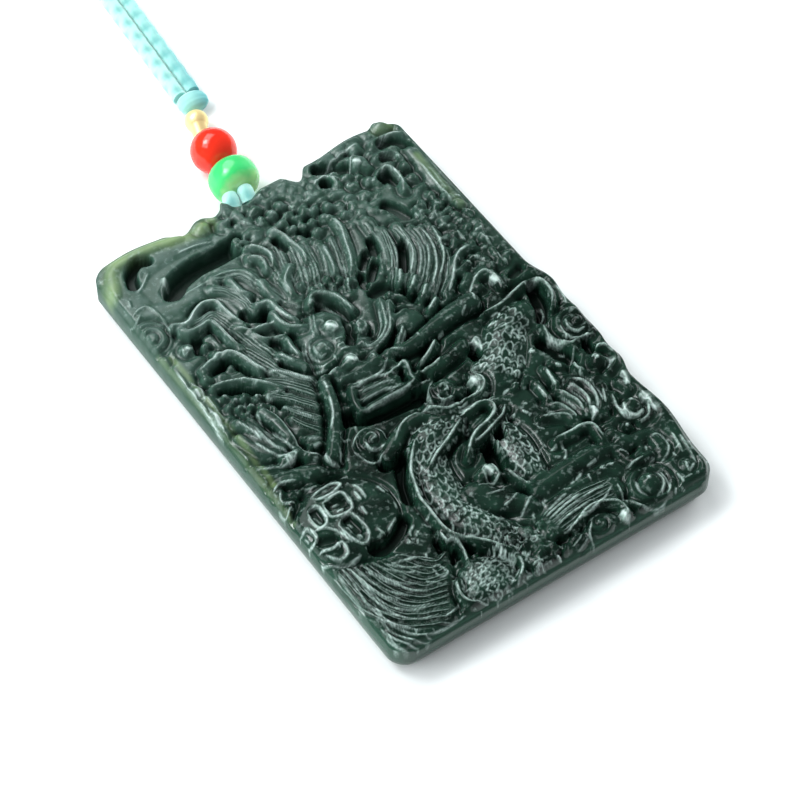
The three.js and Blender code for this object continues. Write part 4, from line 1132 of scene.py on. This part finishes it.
# Right paw: toes fanned up from the wrist with claws above, over the plain thigh.
# Each toe is a tapering band with a sharp line along its back.
RIGHT_LEG = (([(540, 485), (562, 470), (585, 455), (605, 445), (622, 440)], 1.3, 1.2, 5.2),)
carve_bands(RIGHT_LEG, 0.8, 0.3)
RIGHT_TOES = (
    ([(573, 379), (585, 382), (593, 390), (598, 399), (596, 412)], 0.6, 0.6, 5.5),
    ([(568, 384), (579, 390), (587, 398), (590, 410)], 0.55, 0.6, 5.4),
    ([(556, 388), (568, 395), (578, 402), (584, 412)], 0.55, 0.6, 5.3),
    ([(548, 400), (562, 405), (572, 411), (579, 418)], 0.5, 0.6, 5.2),
    ([(542, 416), (556, 414), (568, 415), (576, 421)], 0.45, 0.55, 5.1),
    ([(603, 384), (607, 398), (604, 412)], 0.45, 0.45, 5), ([(536, 382), (548, 396)], 0.5, 0.4, 5.1),
    ([(545, 367), (557, 383)], 0.5, 0.4, 5.1), ([(553, 361), (563, 364)], 0.45, 0.4, 5),
    ([(556, 439), (573, 431), (581, 425), (592, 424), (604, 436)], 0.5, 0.5, 5.5),
)
carve_bands(RIGHT_TOES, 0.3, 0.25)
RIGHT_PAW_LINES = (
    ([(572, 376), (583, 379), (592, 387), (597, 396), (598, 405)], 0.3),
    ([(570, 382), (580, 388), (588, 396), (590, 403)], 0.28),
    ([(558, 387), (568, 393), (578, 399), (584, 408)], 0.25),
    ([(550, 400), (562, 403), (573, 409), (577, 415)], 0.22),
    ([(543, 414), (555, 412), (567, 412), (573, 417)], 0.22), ([(546, 405), (556, 408)], 0.18),
    ([(583, 371), (592, 376), (599, 387), (603, 398)], 0.18), ([(603, 385), (606, 400)], 0.2),
    ([(537, 383), (547, 395)], 0.3), ([(546, 367), (556, 382)], 0.3), ([(555, 361), (562, 363)], 0.25),
    ([(556, 437), (573, 429), (580, 425), (592, 423), (604, 434)], 0.28),
    ([(589, 404), (597, 409), (592, 416)], 0.3), ([(560, 440), (566, 447), (565, 455)], 0.25),
    ([(550, 446), (558, 443)], 0.22), ([(554, 453), (562, 452)], 0.22),
    ([(570, 388), (580, 395), (585, 401)], 0.16), ([(560, 394), (570, 400), (577, 407)], 0.16),
)
carve_lines(RIGHT_PAW_LINES, 5.5)

# Coin: a domed disc under the left paw, with framed fields of plain strokes and a dark polished side.
# The fields' floors are sunk a little, and their frames stand up as thin crests.
carving.ball(-15.7, -13.9, 5.2, 5.0, 0.2, 0.5)
COIN_PITS = (
    ([(331, 506), (344, 502)], 0.4, 4.2), ([(314, 512), (320, 520)], 0.35, 4.2),
    ([(348, 520), (358, 530)], 0.4, 4.2), ([(306, 533), (311, 538)], 0.3, 4.2),
)
carve_hollows(COIN_PITS, 4.7)
FIELDS = (
    [(318, 550), (333, 547), (342, 541), (348, 551), (340, 557), (326, 553)],
    [(312, 556), (328, 561), (348, 560), (362, 553)], [(304, 546), (312, 553)],
    [(322, 502), (341, 491), (352, 507), (332, 516), (322, 502)],
    [(307, 510), (314, 505), (320, 507), (327, 520), (320, 527), (312, 521), (307, 510)],
    [(340, 519), (350, 512), (364, 523), (369, 532), (368, 540), (362, 542), (352, 537), (340, 526),
     (340, 519)], [(299, 533), (306, 527), (313, 531), (317, 538), (310, 543), (303, 541), (299, 533)],
    [(310, 497), (320, 488), (332, 482), (340, 483), (330, 493), (318, 498), (310, 497)],
    [(315, 530), (325, 527), (335, 529), (345, 535), (352, 541)], [(352, 483), (360, 488), (366, 497)],
    [(354, 490), (361, 499)],
)
carve_lines(FIELDS, 5.2, 0.3)
STROKES = (
    [(332, 503), (339, 500)], [(333, 508), (341, 505)], [(337, 511), (344, 508)],
    [(313, 514), (322, 521)], [(347, 520), (353, 524)], [(346, 526), (353, 530)],
    [(357, 532), (363, 537)], [(304, 533), (309, 538)], [(376, 483), (385, 490)],
    [(379, 480), (388, 487)], [(394, 498), (397, 506)], [(361, 505), (367, 514)],
    [(377, 527), (385, 533)], [(388, 530), (396, 515)], [(322, 541), (333, 539), (341, 546)],
)
carve_lines(STROKES, 5.2, 0.24)
COIN_DIPS = (
    ([(374, 551), (388, 546), (400, 532), (404, 522)], 0.5, 3.1), ([(322, 546), (334, 543)], 0.3, 4.2),
)
carve_hollows(COIN_DIPS, 4)

# Water: combed waves at the lower left, a foam clump, slanted waves and two scrolls to the right.
# The waves are low bands side by side, with thin crests drawn over them.
FIRST_WAVE = np.array(((-20.9, -18.7), (-20.6, -24.4), (-18.6, -28.2), (-14, -30.6)))
LAST_WAVE = np.array(((-14.3, -20.7), (-13, -21.8), (-11.4, -23.6), (-9.8, -23.4)))
WAVES = 12
for share in np.linspace(0, 1, WAVES):
    carving.ridge(FIRST_WAVE + share * (LAST_WAVE - FIRST_WAVE), 0.34, 0.42, 4.9, 0.25, 0.2, 2, 0.2)
WATER_LINES = (
    [(372, 600), (384, 617), (402, 629), (424, 632), (446, 624), (466, 611)],
    [(374, 610), (388, 627), (408, 637), (430, 637), (452, 627), (472, 614)],
    [(380, 625), (394, 637), (414, 643), (436, 640), (458, 629)],
    [(386, 635), (400, 645), (420, 649), (442, 643)], [(392, 645), (408, 651), (426, 652)],
    [(362, 585), (378, 602), (398, 614), (420, 618), (440, 612)],
    [(356, 572), (372, 588), (392, 600), (414, 605), (436, 601)],
    [(350, 568), (366, 586), (384, 602), (404, 611)], [(360, 562), (380, 575), (402, 582), (424, 582)],
    [(384, 562), (404, 566), (424, 565)], [(388, 577), (408, 588), (430, 590)],
    [(340, 565), (352, 580), (365, 600), (380, 615), (400, 625), (420, 628)],
    [(345, 565), (360, 578), (380, 592), (400, 600)], [(352, 565), (370, 580), (390, 590), (410, 595)],
    [(365, 570), (385, 580), (400, 585)], [(372, 562), (388, 568), (403, 571), (420, 570)],
    [(392, 562), (415, 557)], [(395, 556), (407, 553)], [(370, 607), (385, 612), (402, 616)],
    [(378, 618), (395, 624), (412, 627)], [(432, 566), (440, 575), (448, 571), (440, 565), (432, 566)],
    [(425, 580), (443, 582)], [(445, 616), (455, 608), (459, 600)], [(338, 572), (350, 590), (366, 612)],
    [(392, 606), (410, 609), (428, 606)], [(405, 560), (422, 556), (436, 558)],
)
carve_lines(WATER_LINES, 4.9, 0.19)
carving.ball(-8, -28.4, 3.0, 5.1, 0.6, 0.3)
carving.scales([(-11.2, -28.4), (-4.8, -28.4)], 2.6, 2.6, 0.95, 14)
WAVE_SHEETS = (
    ([(554, 524), (570, 510), (590, 496), (612, 486)], 1.7, 1.5, 5, 8),
    ([(575, 548), (590, 530), (610, 520), (625, 516)], 1, 1, 4.7, 3),
)
carve_bands(WAVE_SHEETS, 0.15, 0.25, 0.2)
WATER_SCROLLS = (
    ((600, 521), 1.9, 4.9, 2.4, 1, 0), ((650, 480), 2.7, 5.1, 2.2, -1, 0.3),
)
carve_scrolls(WATER_SCROLLS)
WATER_BALLS = (
    ((650, 478), 1.2, 5.6, 0.7, 0.3), ((660, 446), 1.3, 5), ((688, 462), 0.7, 4.8),
    ((524, 531), 0.7, 4.9), ((540, 550), 0.7, 4.8), ((553, 547), 0.6, 4.8), ((565, 546), 0.6, 4.8),
    ((528, 547), 0.6, 4.8), ((513, 538), 0.5, 4.9), ((503, 528), 0.5, 4.9),
)
carve_balls(WATER_BALLS)
WATER_EDGES = (
    ([(575, 525), (585, 511), (596, 503), (610, 500), (622, 502), (629, 512),
     (630, 523)], 0.3, 0.55, 5.1), ([(612, 432), (630, 438), (648, 432), (658, 440)], 0.7, 0.6, 4.9),
    ([(619, 450), (635, 460), (650, 452)], 0.4, 0.4, 4.9),
    ([(458, 579), (460, 592), (470, 601), (489, 602)], 0.3, 0.3, 5.1),
    ([(518, 556), (523, 565), (518, 583)], 0.3, 0.3, 5),
    ([(630, 500), (645, 506), (660, 503), (669, 494)], 0.35, 0.35, 4.9),
)
carve_bands(WATER_EDGES, 0.25, 0.2)
WATER_CURLS = (
    [(456, 580), (460, 592), (470, 600), (488, 600)], [(518, 556), (523, 565), (518, 582)],
    [(575, 525), (585, 510), (595, 503), (610, 500), (622, 502), (629, 512), (630, 522)],
    [(592, 520), (590, 532), (595, 543), (583, 549)], [(636, 478), (637, 485), (643, 491), (648, 494)],
    [(658, 471), (664, 480), (662, 488), (657, 493)], [(660, 470), (670, 483), (668, 492)],
    [(630, 500), (645, 505), (660, 502), (668, 495)], [(617, 483), (622, 492), (628, 502)],
    [(677, 470), (685, 480)], [(685, 459), (690, 467), (695, 460)], [(672, 430), (678, 440), (683, 450)],
    [(680, 432), (690, 448), (697, 460)], [(619, 449), (630, 449)], [(643, 455), (635, 460), (625, 465)],
    [(650, 436), (660, 432), (668, 440), (668, 451), (661, 459)], [(587, 465), (597, 458)],
    [(606, 463), (614, 461)], [(543, 513), (556, 500), (567, 490)], [(549, 519), (564, 505), (580, 492)],
    [(557, 525), (572, 512), (592, 498)], [(564, 533), (578, 520), (600, 502), (613, 484)],
    [(546, 516), (560, 503), (574, 491)], [(553, 522), (568, 508), (588, 494), (604, 484)],
)
carve_lines(WATER_CURLS, 5, 0.22)

# Head: forehead crest, lidded eyes, a broad nose over an open mouth, and two long whiskers.
# It is carved last and stands highest, and painted highlights and glints lie along its crests.
carving.ridge([(-3.8, 8), (-3.7, 4.2), (-3.6, 1.4)], 3.4, 3.9, 5.7, 1.0, 0.4)
HEAD_DIPS = (
    ([(320, 305), (332, 306), (346, 312)], 0.6, 3.6), ([(347, 320), (351, 330), (350, 343)], 0.4, 3.8),
    ([(372, 349), (384, 344), (394, 337)], 0.35, 4), ([(284, 364), (298, 367)], 0.4, 4),
    ([(378, 310), (377, 324), (372, 332)], 0.35, 4.9), ([(352, 386), (372, 379), (392, 373)], 0.3, 4.4),
    ([(275, 343), (276, 344)], 0.45, 4), ([(400, 369), (401, 370)], 0.4, 4.6),
)
carve_hollows(HEAD_DIPS, 5)
HEAD_RIDGES = (
    ([(309, 304), (311, 294), (320, 290), (335, 293), (345, 300), (353, 307)], 0.35, 0.3, 5.7),
    ([(258, 303), (268, 300), (275, 305), (285, 313), (296, 319)], 0.5, 0.4, 5.6),
    ([(272, 312), (280, 320), (290, 325), (304, 325)], 0.45, 0.4, 5.7),
    ([(287, 338), (292, 346), (300, 354)], 0.4, 0.35, 5.5),
    ([(280, 353), (295, 360), (306, 364)], 0.4, 0.35, 5.6),
    ([(381, 298), (384, 310), (386, 322), (381, 335), (371, 343), (362, 340)], 0.35, 0.3, 5.7),
    ([(389, 300), (391, 318), (388, 331), (376, 346), (366, 351)], 0.35, 0.3, 5.6),
    ([(398, 341), (403, 324)], 0.35, 0.3, 5.7),
    ([(389, 371), (398, 362), (406, 361), (415, 378)], 0.45, 0.4, 5.7),
)
carve_bands(HEAD_RIDGES, 0.25, 0.2)
HEAD_BALLS = (
    ((331, 325), 1, 6.1, 0.5, 0.2), ((322, 347), 1.1, 5.9, 0.5, 0.2), ((361, 323), 0.75, 5.9, 0.4, 0.2),
    ((409, 318), 1.9, 5.3, 0.7, 0.3),
)
carve_balls(HEAD_BALLS)
NOSE = (
    ([(340, 372), (358, 367), (374, 360), (386, 354)], 1.2, 1.2, 6.2),
    ([(322, 376), (332, 372), (345, 363)], 0.5, 0.6, 6.2),
)
carve_bands(NOSE, 0.9, 0.35)
NOSE_BOSSES = (
    ((351, 359), 0.95, 6.4, 0.6, 0.2), ((375, 354), 0.7, 6.1, 0.5, 0.2),
)
carve_balls(NOSE_BOSSES)
JAW = (
    ([(352, 385), (375, 375), (395, 370)], 0.35, 0.35, 5.3),
    ([(361, 389), (385, 379), (398, 376)], 0.3, 0.3, 5.4),
    ([(363, 398), (385, 386), (402, 382)], 0.35, 0.35, 5.3),
    ([(361, 410), (375, 402), (390, 393), (405, 385), (415, 377)], 0.4, 0.35, 5.4),
    ([(352, 386), (354, 398), (361, 410)], 0.35, 0.35, 5.3),
)
carve_bands(JAW, 0.2, 0.2)
WHISKERS = (
    ([(325, 380), (331, 396), (335, 415), (334, 435), (332, 455)], 0.7, 0.7, 5.9),
    ([(388, 350), (408, 343), (430, 326), (450, 310), (470, 298)], 0.55, 1.3, 6),
    ([(420, 362), (428, 352), (435, 339)], 0.35, 0.3, 5.7),
    ([(419, 370), (432, 365), (441, 356)], 0.4, 0.3, 5.6),
    ([(432, 368), (448, 356), (462, 342)], 0.7, 0.9, 5.5),
)
carve_bands(WHISKERS, 0.6, 0.45)
HEAD_LINES = (
    ([(309, 303), (311, 294), (320, 290), (335, 293), (345, 300), (352, 306)], 0.22),
    ([(310, 303), (313, 297), (322, 296), (335, 302), (347, 309)], 0.2),
    ([(312, 304), (318, 301), (330, 304), (343, 312)], 0.18),
    ([(309, 310), (311, 325), (315, 335)], 0.18), ([(313, 310), (315, 324), (319, 333)], 0.18),
    ([(258, 302), (268, 299), (275, 304), (285, 312), (295, 317)], 0.28),
    ([(272, 311), (280, 319), (290, 324), (303, 324)], 0.28),
    ([(302, 338), (303, 350), (308, 360), (320, 366), (328, 364)], 0.18),
    ([(305, 338), (306, 349), (311, 357), (321, 362), (328, 360)], 0.18),
    ([(309, 339), (310, 348), (314, 354), (322, 358)], 0.18),
    ([(313, 342), (315, 349), (321, 354), (327, 351)], 0.18), ([(317, 345), (322, 342), (327, 346)], 0.2),
    ([(287, 337), (292, 345), (300, 353)], 0.25), ([(280, 352), (295, 359)], 0.25),
    ([(381, 298), (384, 310), (386, 322), (381, 335), (371, 343), (362, 340)], 0.22),
    ([(388, 300), (390, 318), (388, 330), (376, 345), (367, 350)], 0.22),
    ([(378, 303), (380, 313), (381, 322), (376, 333), (368, 338)], 0.18),
    ([(356, 323), (359, 318), (364, 319), (366, 324), (362, 328), (357, 326)], 0.2),
    ([(334, 338), (343, 335)], 0.2), ([(337, 344), (347, 340)], 0.2), ([(340, 348), (350, 345)], 0.2),
    ([(333, 352), (337, 358)], 0.18), ([(324, 326), (330, 320), (338, 325), (332, 331)], 0.25),
    ([(320, 317), (324, 319)], 0.25), ([(390, 348), (405, 348)], 0.22), ([(398, 340), (403, 324)], 0.2),
    ([(401, 341), (406, 326)], 0.18), ([(344, 356), (350, 352), (357, 356), (354, 363)], 0.3),
    ([(322, 375), (330, 371), (338, 366)], 0.28), ([(388, 355), (383, 366), (370, 375), (350, 381)], 0.2),
    ([(352, 384), (375, 373), (395, 369)], 0.2), ([(361, 388), (385, 378), (397, 376)], 0.18),
    ([(363, 397), (385, 385), (401, 382)], 0.2),
    ([(361, 409), (375, 402), (390, 393), (405, 385), (414, 377)], 0.25),
    ([(389, 370), (398, 362), (405, 360), (415, 378)], 0.22),
    ([(420, 361), (428, 351), (435, 338)], 0.28), ([(420, 368), (432, 363), (440, 355)], 0.28),
    ([(329, 394), (332, 405), (333, 415), (331, 428)], 0.28),
    ([(325, 448), (327, 456), (333, 460), (340, 459)], 0.28), ([(340, 442), (341, 455)], 0.18),
    ([(323, 380), (328, 388)], 0.3), ([(458, 291), (465, 288), (472, 291), (475, 299)], 0.25),
    ([(466, 304), (462, 312)], 0.2), ([(453, 314), (445, 319)], 0.22), ([(444, 326), (438, 331)], 0.18),
    ([(468, 337), (478, 331), (482, 344)], 0.3), ([(470, 362), (487, 360), (480, 367), (470, 362)], 0.22),
    ([(416, 331), (420, 336)], 0.2), ([(372, 353), (375, 357)], 0.25),
)
carve_lines(HEAD_LINES, 6)
# Short wide crests on the head's bosses, where a near-white glint is painted on the stone.
GLINTS = (
    ([(325, 324), (337, 326)], 0.9), ([(346, 357), (354, 361)], 0.9),
)
carve_lines(GLINTS, 6.1)
# Crests on the balls and rings at the right, where painted glints are laid on the stone.
PEARL_GLINTS = (
    ([(629, 397), (633, 399)], 0.5), ([(595, 355), (599, 357)], 0.5), ([(647, 476), (651, 478)], 0.5),
    ([(626, 421), (629, 423)], 0.35), ([(606, 352), (615, 357)], 0.6),
    ([(636, 478), (640, 487), (649, 492)], 0.3), ([(657, 469), (664, 477), (663, 489)], 0.3),
    ([(623, 399), (626, 408), (636, 412), (645, 406)], 0.35),
)
carve_lines(PEARL_GLINTS, 5.5)
# Short wide crests where a pale painted highlight or sheen is laid on the stone's colour.
PAINTED_HIGHLIGHT_FACETS = (
    ([(642, 386), (650, 395), (657, 405)], 0.9), ([(622, 366), (627, 374), (626, 382)], 0.6),
    ([(471, 377), (477, 384)], 1.2), ([(352, 160), (361, 161)], 1), ([(164, 274), (163, 281)], 0.7),
    ([(288, 453), (292, 458)], 0.6), ([(593, 405), (595, 413)], 0.7), ([(485, 465), (493, 471)], 0.8),
    ([(622, 508), (628, 516)], 0.8), ([(472, 336), (479, 341)], 0.7), ([(185, 346), (190, 347)], 0.7),
    ([(490, 274), (498, 280)], 0.7), ([(640, 390), (652, 398)], 0.7), ([(195, 386), (200, 393)], 0.7),
    ([(213, 409), (220, 422)], 0.6),
)
carve_lines(PAINTED_HIGHLIGHT_FACETS, 5.4)

# Yellow-green rims: the block is thin along parts of its rim, and the light coming through there is painted
# into its colour as a warmer yellow-green.
# It is strongest at the upper left corner.
carving.yellow([(-20.5, 26), (-18, 29.5), (-13, 29.5), (-9, 28.6), (-6, 29)], 1.6, 0.75)
carving.yellow([(-19.6, 15), (-19.5, 4), (-19.8, -6)], 0.55, 0.4)
carving.yellow([(-20.6, 16), (-20.5, 4), (-20.6, -11)], 0.5, 0.2)
carving.yellow([(19.4, 24), (19.2, 15)], 0.9, 0.35)
carving.yellow([(17.6, 30), (19.2, 29.6)], 1.2, 0.35)


def blurred(heights, reach):
    """Heights averaged over a square of cells."""
    for axis in (0, 1):
        margin = [(reach + 1, reach) if a == axis else (0, 0) for a in (0, 1)]
        total = np.cumsum(np.pad(heights, margin, mode="edge"), axis=axis)
        last = total.shape[axis]
        heights = (np.take(total, range(2 * reach + 1, last), axis)
                   - np.take(total, range(last - 2 * reach - 1), axis)) / (2 * reach + 1)
    return heights


def plaque_mesh():
    """Closed mesh: the carved face settling to a rounded rim, straight walls, and a flat back."""
    rows, columns = u_grid.shape
    inside = np.minimum(HALF_W * (1 - np.abs(u_grid)), HALF_L * (1 - np.abs(v_grid)))
    right_edge = smooth((u_grid - 0.6) / 0.35) * smooth((v_grid + 1) / 0.4)
    carved_edge = np.maximum(right_edge, smooth((v_grid - 0.85) / 0.12))
    rim_height = RIM_HEIGHT + EDGE_RISE * carved_edge
    x, y = place(u_grid, v_grid)
    z = carving.settled(carving.z).reshape(rows, columns)
    z = rim_height + (z - rim_height) * smooth(inside / (RIM_EASE - 0.3 * carved_edge))
    # Painted shade: how far each place lies below its surroundings or below the ground, for darkening the
    # colour of cuts and hollows.
    depth = np.maximum((blurred(z, 4) - z) / 0.45, (GROUND_HEIGHT - 0.4 - z) / 1.2)
    sunk = np.clip(depth, 0, 1) * (inside > RIM_EASE)
    face = np.arange(rows * columns).reshape(rows, columns)
    rim = np.concatenate([face[0], face[1:-1, -1], face[-1, ::-1], face[-2:0:-1, 0]])
    verts = [np.stack([x, y, z], -1).reshape(-1, 3)]
    quads = [np.stack([face[:-1, :-1], face[:-1, 1:], face[1:, 1:], face[1:, :-1]], -1).reshape(-1, 4)]
    above = rim
    count = rows * columns
    rounding = 0.3 * BACK_EDGE
    for inset, height in ((0.0, 0.5 * RIM_HEIGHT), (0.0, BACK_EDGE), (rounding, rounding), (BACK_EDGE, 0.0)):
        edge = verts[0][rim].copy()
        edge[:, 0] *= 1 - inset / HALF_W
        edge[:, 1] *= 1 - inset / HALF_L
        edge[:, 2] = height
        below = count + np.arange(len(rim))
        quads.append(np.stack([above, below, np.roll(below, -1), np.roll(above, -1)], -1))
        verts.append(edge)
        above = below
        count += len(rim)
    verts.append(np.zeros((1, 3)))
    faces = [tuple(q) for q in np.concatenate(quads).tolist()]
    faces += [(a, count, b) for a, b in zip(above.tolist(), np.roll(above, -1).tolist())]
    mesh = bpy.data.meshes.new("jade_plaque")
    mesh.from_pydata((np.concatenate(verts) * MM).tolist(), [], faces)
    mesh.polygons.foreach_set("use_smooth", [True] * len(mesh.polygons))
    # These marks carry painted light to the jade's colour: sunk for painted shade, crest for painted
    # highlights and glints, tint for painted yellow light at the thin rims.
    kept = {"tint": carving.settled(carving.tint), "comb": carving.settled(carving.comb),
            "combed": carving.settled(carving.combed), "crest": carving.settled(carving.crest),
            "sunk": sunk.ravel()}
    for name, values in kept.items():
        whole = np.full(len(mesh.vertices), NO_CREST if name == "crest" else 0.0)
        whole[:rows * columns] = values
        mesh.attributes.new(name, "FLOAT", "POINT").data.foreach_set("value", whole)
    return mesh


JADE_DARK = (0.010, 0.038, 0.024, 1)
JADE_LIGHT = (0.022, 0.064, 0.043, 1)
JADE_SHADED = (0.002, 0.008, 0.005, 1)
JADE_PAINTED_SHEEN = (0.065, 0.112, 0.097, 1)
JADE_YELLOW = (0.22, 0.32, 0.13, 1)
JADE_SUNK_SHADE = (0.002, 0.006, 0.004, 1)
JADE_WORN_AND_HIGHLIT = (0.29, 0.38, 0.35, 1)
JADE_GLINT = (0.60, 0.70, 0.67, 1)


def jade_material():
    """Dark green polished jade, with painted shade in its cuts and towards the lower right, crests pale from
    wear and painted highlight, painted glints, a painted sheen and painted yellow light at its thin rims.
    """
    material = bpy.data.materials.new("jade")
    material.use_nodes = True
    tree = material.node_tree
    shader = tree.nodes["Principled BSDF"]
    where = add_node(tree, "ShaderNodeTexCoord").outputs["Object"]
    marks = {name: add_node(tree, "ShaderNodeAttribute", attribute_name=name).outputs["Fac"]
             for name in ("tint", "comb", "combed", "crest", "sunk")}
    spread = add_node(tree, "ShaderNodeSeparateXYZ", {0: where})

    # Painted shade: the clouded stone's colour is darkened towards the lower right, in patches.
    slant = lessened(tree, spread.outputs["Y"], spread.outputs["X"], 0.3)
    far = ranged(tree, slant, -3 * MM, 22 * MM)
    ground = GROUND_HEIGHT * MM
    face = ranged(tree, spread.outputs["Z"], RIM_HEIGHT * MM, ground)
    nearer = product(tree, lessened(tree, 1.0, far), face)
    body = mixed(tree, noise(tree, where, 140.0, 4.0), JADE_DARK, JADE_LIGHT)
    patch = noise(tree, where, 320.0, 2.0)
    patchy = ranged(tree, patch, 0.35, 0.65, 0.5, 1.0)
    shaded = mixed(tree, product(tree, nearer, patchy), body, JADE_SHADED)

    # A pale painted sheen lies over the upper half, stronger on higher places, and the thin rims are painted
    # yellow-green as light coming through.
    sheen_patches = ranged(tree, noise(tree, where, 900.0, 3.0), 0.35, 0.65, 0.0, 0.6)
    rise = ranged(tree, spread.outputs["Z"], ground - 0.3 * MM, ground + 0.7 * MM, 0.5, 1.35)
    with_painted_sheen = mixed(tree, product(tree, far, sheen_patches, rise), shaded, JADE_PAINTED_SHEEN)
    warm = mixed(tree, product(tree, marks["tint"], patchy), with_painted_sheen, JADE_YELLOW)

    # Hair is combed in wavering cuts; painted shade darkens these cuts and the sunk places.
    phase = math_node(tree, "ADD", marks["comb"], noise(tree, where, 450.0, 2.0))
    strand = math_node(tree, "ABSOLUTE", math_node(tree, "SINE", product(tree, phase, math.pi)))
    faint = lessened(tree, 1.0, far, 0.45)
    cut = product(tree, lessened(tree, 1.0, strand), product(tree, marks["combed"], faint))
    sunk = product(tree, marks["sunk"], lessened(tree, 1.0, far, 0.3))
    painted_shade_mask = math_node(tree, "MAXIMUM", sunk, product(tree, cut, 0.4))
    with_painted_shade = mixed(tree, painted_shade_mask, warm, JADE_SUNK_SHADE)

    # Crests and strands are painted pale, partly as wear and partly as highlight; specks are worn pale, and
    # the sharpest crests get a painted glint.
    edge = ranged(tree, marks["crest"], 0.6, 1.6, 1.0, 0.0)
    broken = ranged(tree, noise(tree, where, 700.0, 2.0), 0.35, 0.6, 0.4, 1.0)
    drawn = product(tree, edge, faint, broken)
    ridge = ranged(tree, strand, lessened(tree, 0.85, far, 0.45), 1.0)
    hair = product(tree, ridge, marks["combed"], product(tree, faint, 0.5))
    specks = ranged(tree, noise(tree, where, 1500.0, 4.0), 0.55, 0.75, 0.0, 0.4)
    rubbed = product(tree, specks, lessened(tree, face, painted_shade_mask))
    worn_and_highlit = math_node(tree, "MAXIMUM", math_node(tree, "MAXIMUM", drawn, hair), rubbed)
    speckled = ranged(tree, noise(tree, where, 3000.0, 2.0), 0.35, 0.6, 0.4, 1.0)
    frosted_and_highlit = mixed(tree, product(tree, worn_and_highlit, speckled), with_painted_shade, JADE_WORN_AND_HIGHLIT)
    # Painted glint: the sharpest crests are coloured near white.
    glint = ranged(tree, marks["crest"], 0.1, 0.6, 0.8, 0.0)
    tree.links.new(mixed(tree, glint, frosted_and_highlit, JADE_GLINT), shader.inputs["Base Color"])

    # The polish is duller in the cuts and towards the lower right, over a slightly uneven face.
    bright = lessened(tree, 0.5, painted_shade_mask, 0.45)
    shine = product(tree, bright, lessened(tree, 1.0, nearer, 0.65))
    tree.links.new(shine, shader.inputs["Specular IOR Level"])
    uneven = math_node(tree, "ADD", product(tree, noise(tree, where, 1400.0, 3.0), 0.35), patch)
    height = lessened(tree, product(tree, uneven, face), cut)
    bump = add_node(tree, "ShaderNodeBump", {"Height": height, "Distance": 0.1 * MM, "Strength": 1.0})
    tree.links.new(bump.outputs[0], shader.inputs["Normal"])
    rough = math_node(tree, "ADD", 0.18, product(tree, far, 0.22))
    tree.links.new(rough, shader.inputs["Roughness"])
    shader.inputs["IOR"].default_value = 1.61
    shader.inputs["Subsurface Weight"].default_value = 0.15
    shader.inputs["Subsurface Radius"].default_value = (0.5, 1.0, 0.6)
    shader.inputs["Subsurface Scale"].default_value = 0.5 * MM
    return material


plaque = bpy.data.objects.new("jade_plaque", plaque_mesh())
bpy.context.scene.collection.objects.link(plaque)
plaque.data.materials.append(jade_material())
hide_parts("plaque")
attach(plaque, "root")


# Floor and light: a plain white paper floor under a large soft light from behind on the left.
# A smaller light brightens its middle, and two white cards lift the sides without showing in reflections.
FLOOR_HALF = 3.0
PAPER = (0.86, 0.86, 0.87, 1)
LIGHT_TINT = (0.94, 1.0, 1.0)
ROOM_TINT = (0.93, 0.97, 1.0, 1)
ROOM_STRENGTH = 0.22
SOFTBOX_AT = (-0.13, 0.335, 0.45)
SOFTBOX_TURN = math.radians(33.5)

floor_mesh = bpy.data.meshes.new("floor")
corners = ((-1, -1), (1, -1), (1, 1), (-1, 1))
floor_mesh.from_pydata([(x * FLOOR_HALF, y * FLOOR_HALF, 0) for x, y in corners], [], [(0, 1, 2, 3)])
floor = bpy.data.objects.new("floor", floor_mesh)
bpy.context.scene.collection.objects.link(floor)
paper = bpy.data.materials.new("white_paper")
paper.use_nodes = True
paper_shader = paper.node_tree.nodes["Principled BSDF"]
paper_shader.inputs["Base Color"].default_value = PAPER
paper_shader.inputs["Roughness"].default_value = 0.9
floor_mesh.materials.append(paper)


def soft_light(name, at, aim, width, height, power):
    """A rectangular soft light at a place in metres, aimed at a point."""
    data = bpy.data.lights.new(name, "AREA")
    data.shape = "RECTANGLE"
    data.size = width
    data.size_y = height
    data.energy = power
    data.color = LIGHT_TINT
    light = bpy.data.objects.new(name, data)
    light.location = at
    light.rotation_mode = "QUATERNION"
    light.rotation_quaternion = (Vector(aim) - Vector(at)).to_track_quat("-Z", "Y")
    bpy.context.scene.collection.objects.link(light)
    return light


softbox = soft_light("softbox", SOFTBOX_AT, (SOFTBOX_AT[0], SOFTBOX_AT[1], 0), 0.80, 0.36, 3.4)
softbox.rotation_quaternion = Quaternion((0, 0, 1), SOFTBOX_TURN) @ softbox.rotation_quaternion
soft_light("softbox_middle", (-0.215, 0.276, 0.44), (0, 0.01, 0), 0.18, 0.18, 1.1)
left_card = soft_light("left_card", (-0.45, 0.05, 0.14), (0, 0, 0), 0.50, 0.24, 3.2)
right_card = soft_light("right_card", (0.55, 0.10, 0.16), (0.05, 0, 0), 0.80, 0.30, 5.5)
for card in (left_card, right_card):
    card.visible_glossy = False
world = bpy.data.worlds.new("white_room")
bpy.context.scene.world = world
world.use_nodes = True
room = world.node_tree.nodes["Background"]
room.inputs["Color"].default_value = ROOM_TINT
room.inputs["Strength"].default_value = ROOM_STRENGTH
bpy.context.scene.view_settings.view_transform = "Standard"
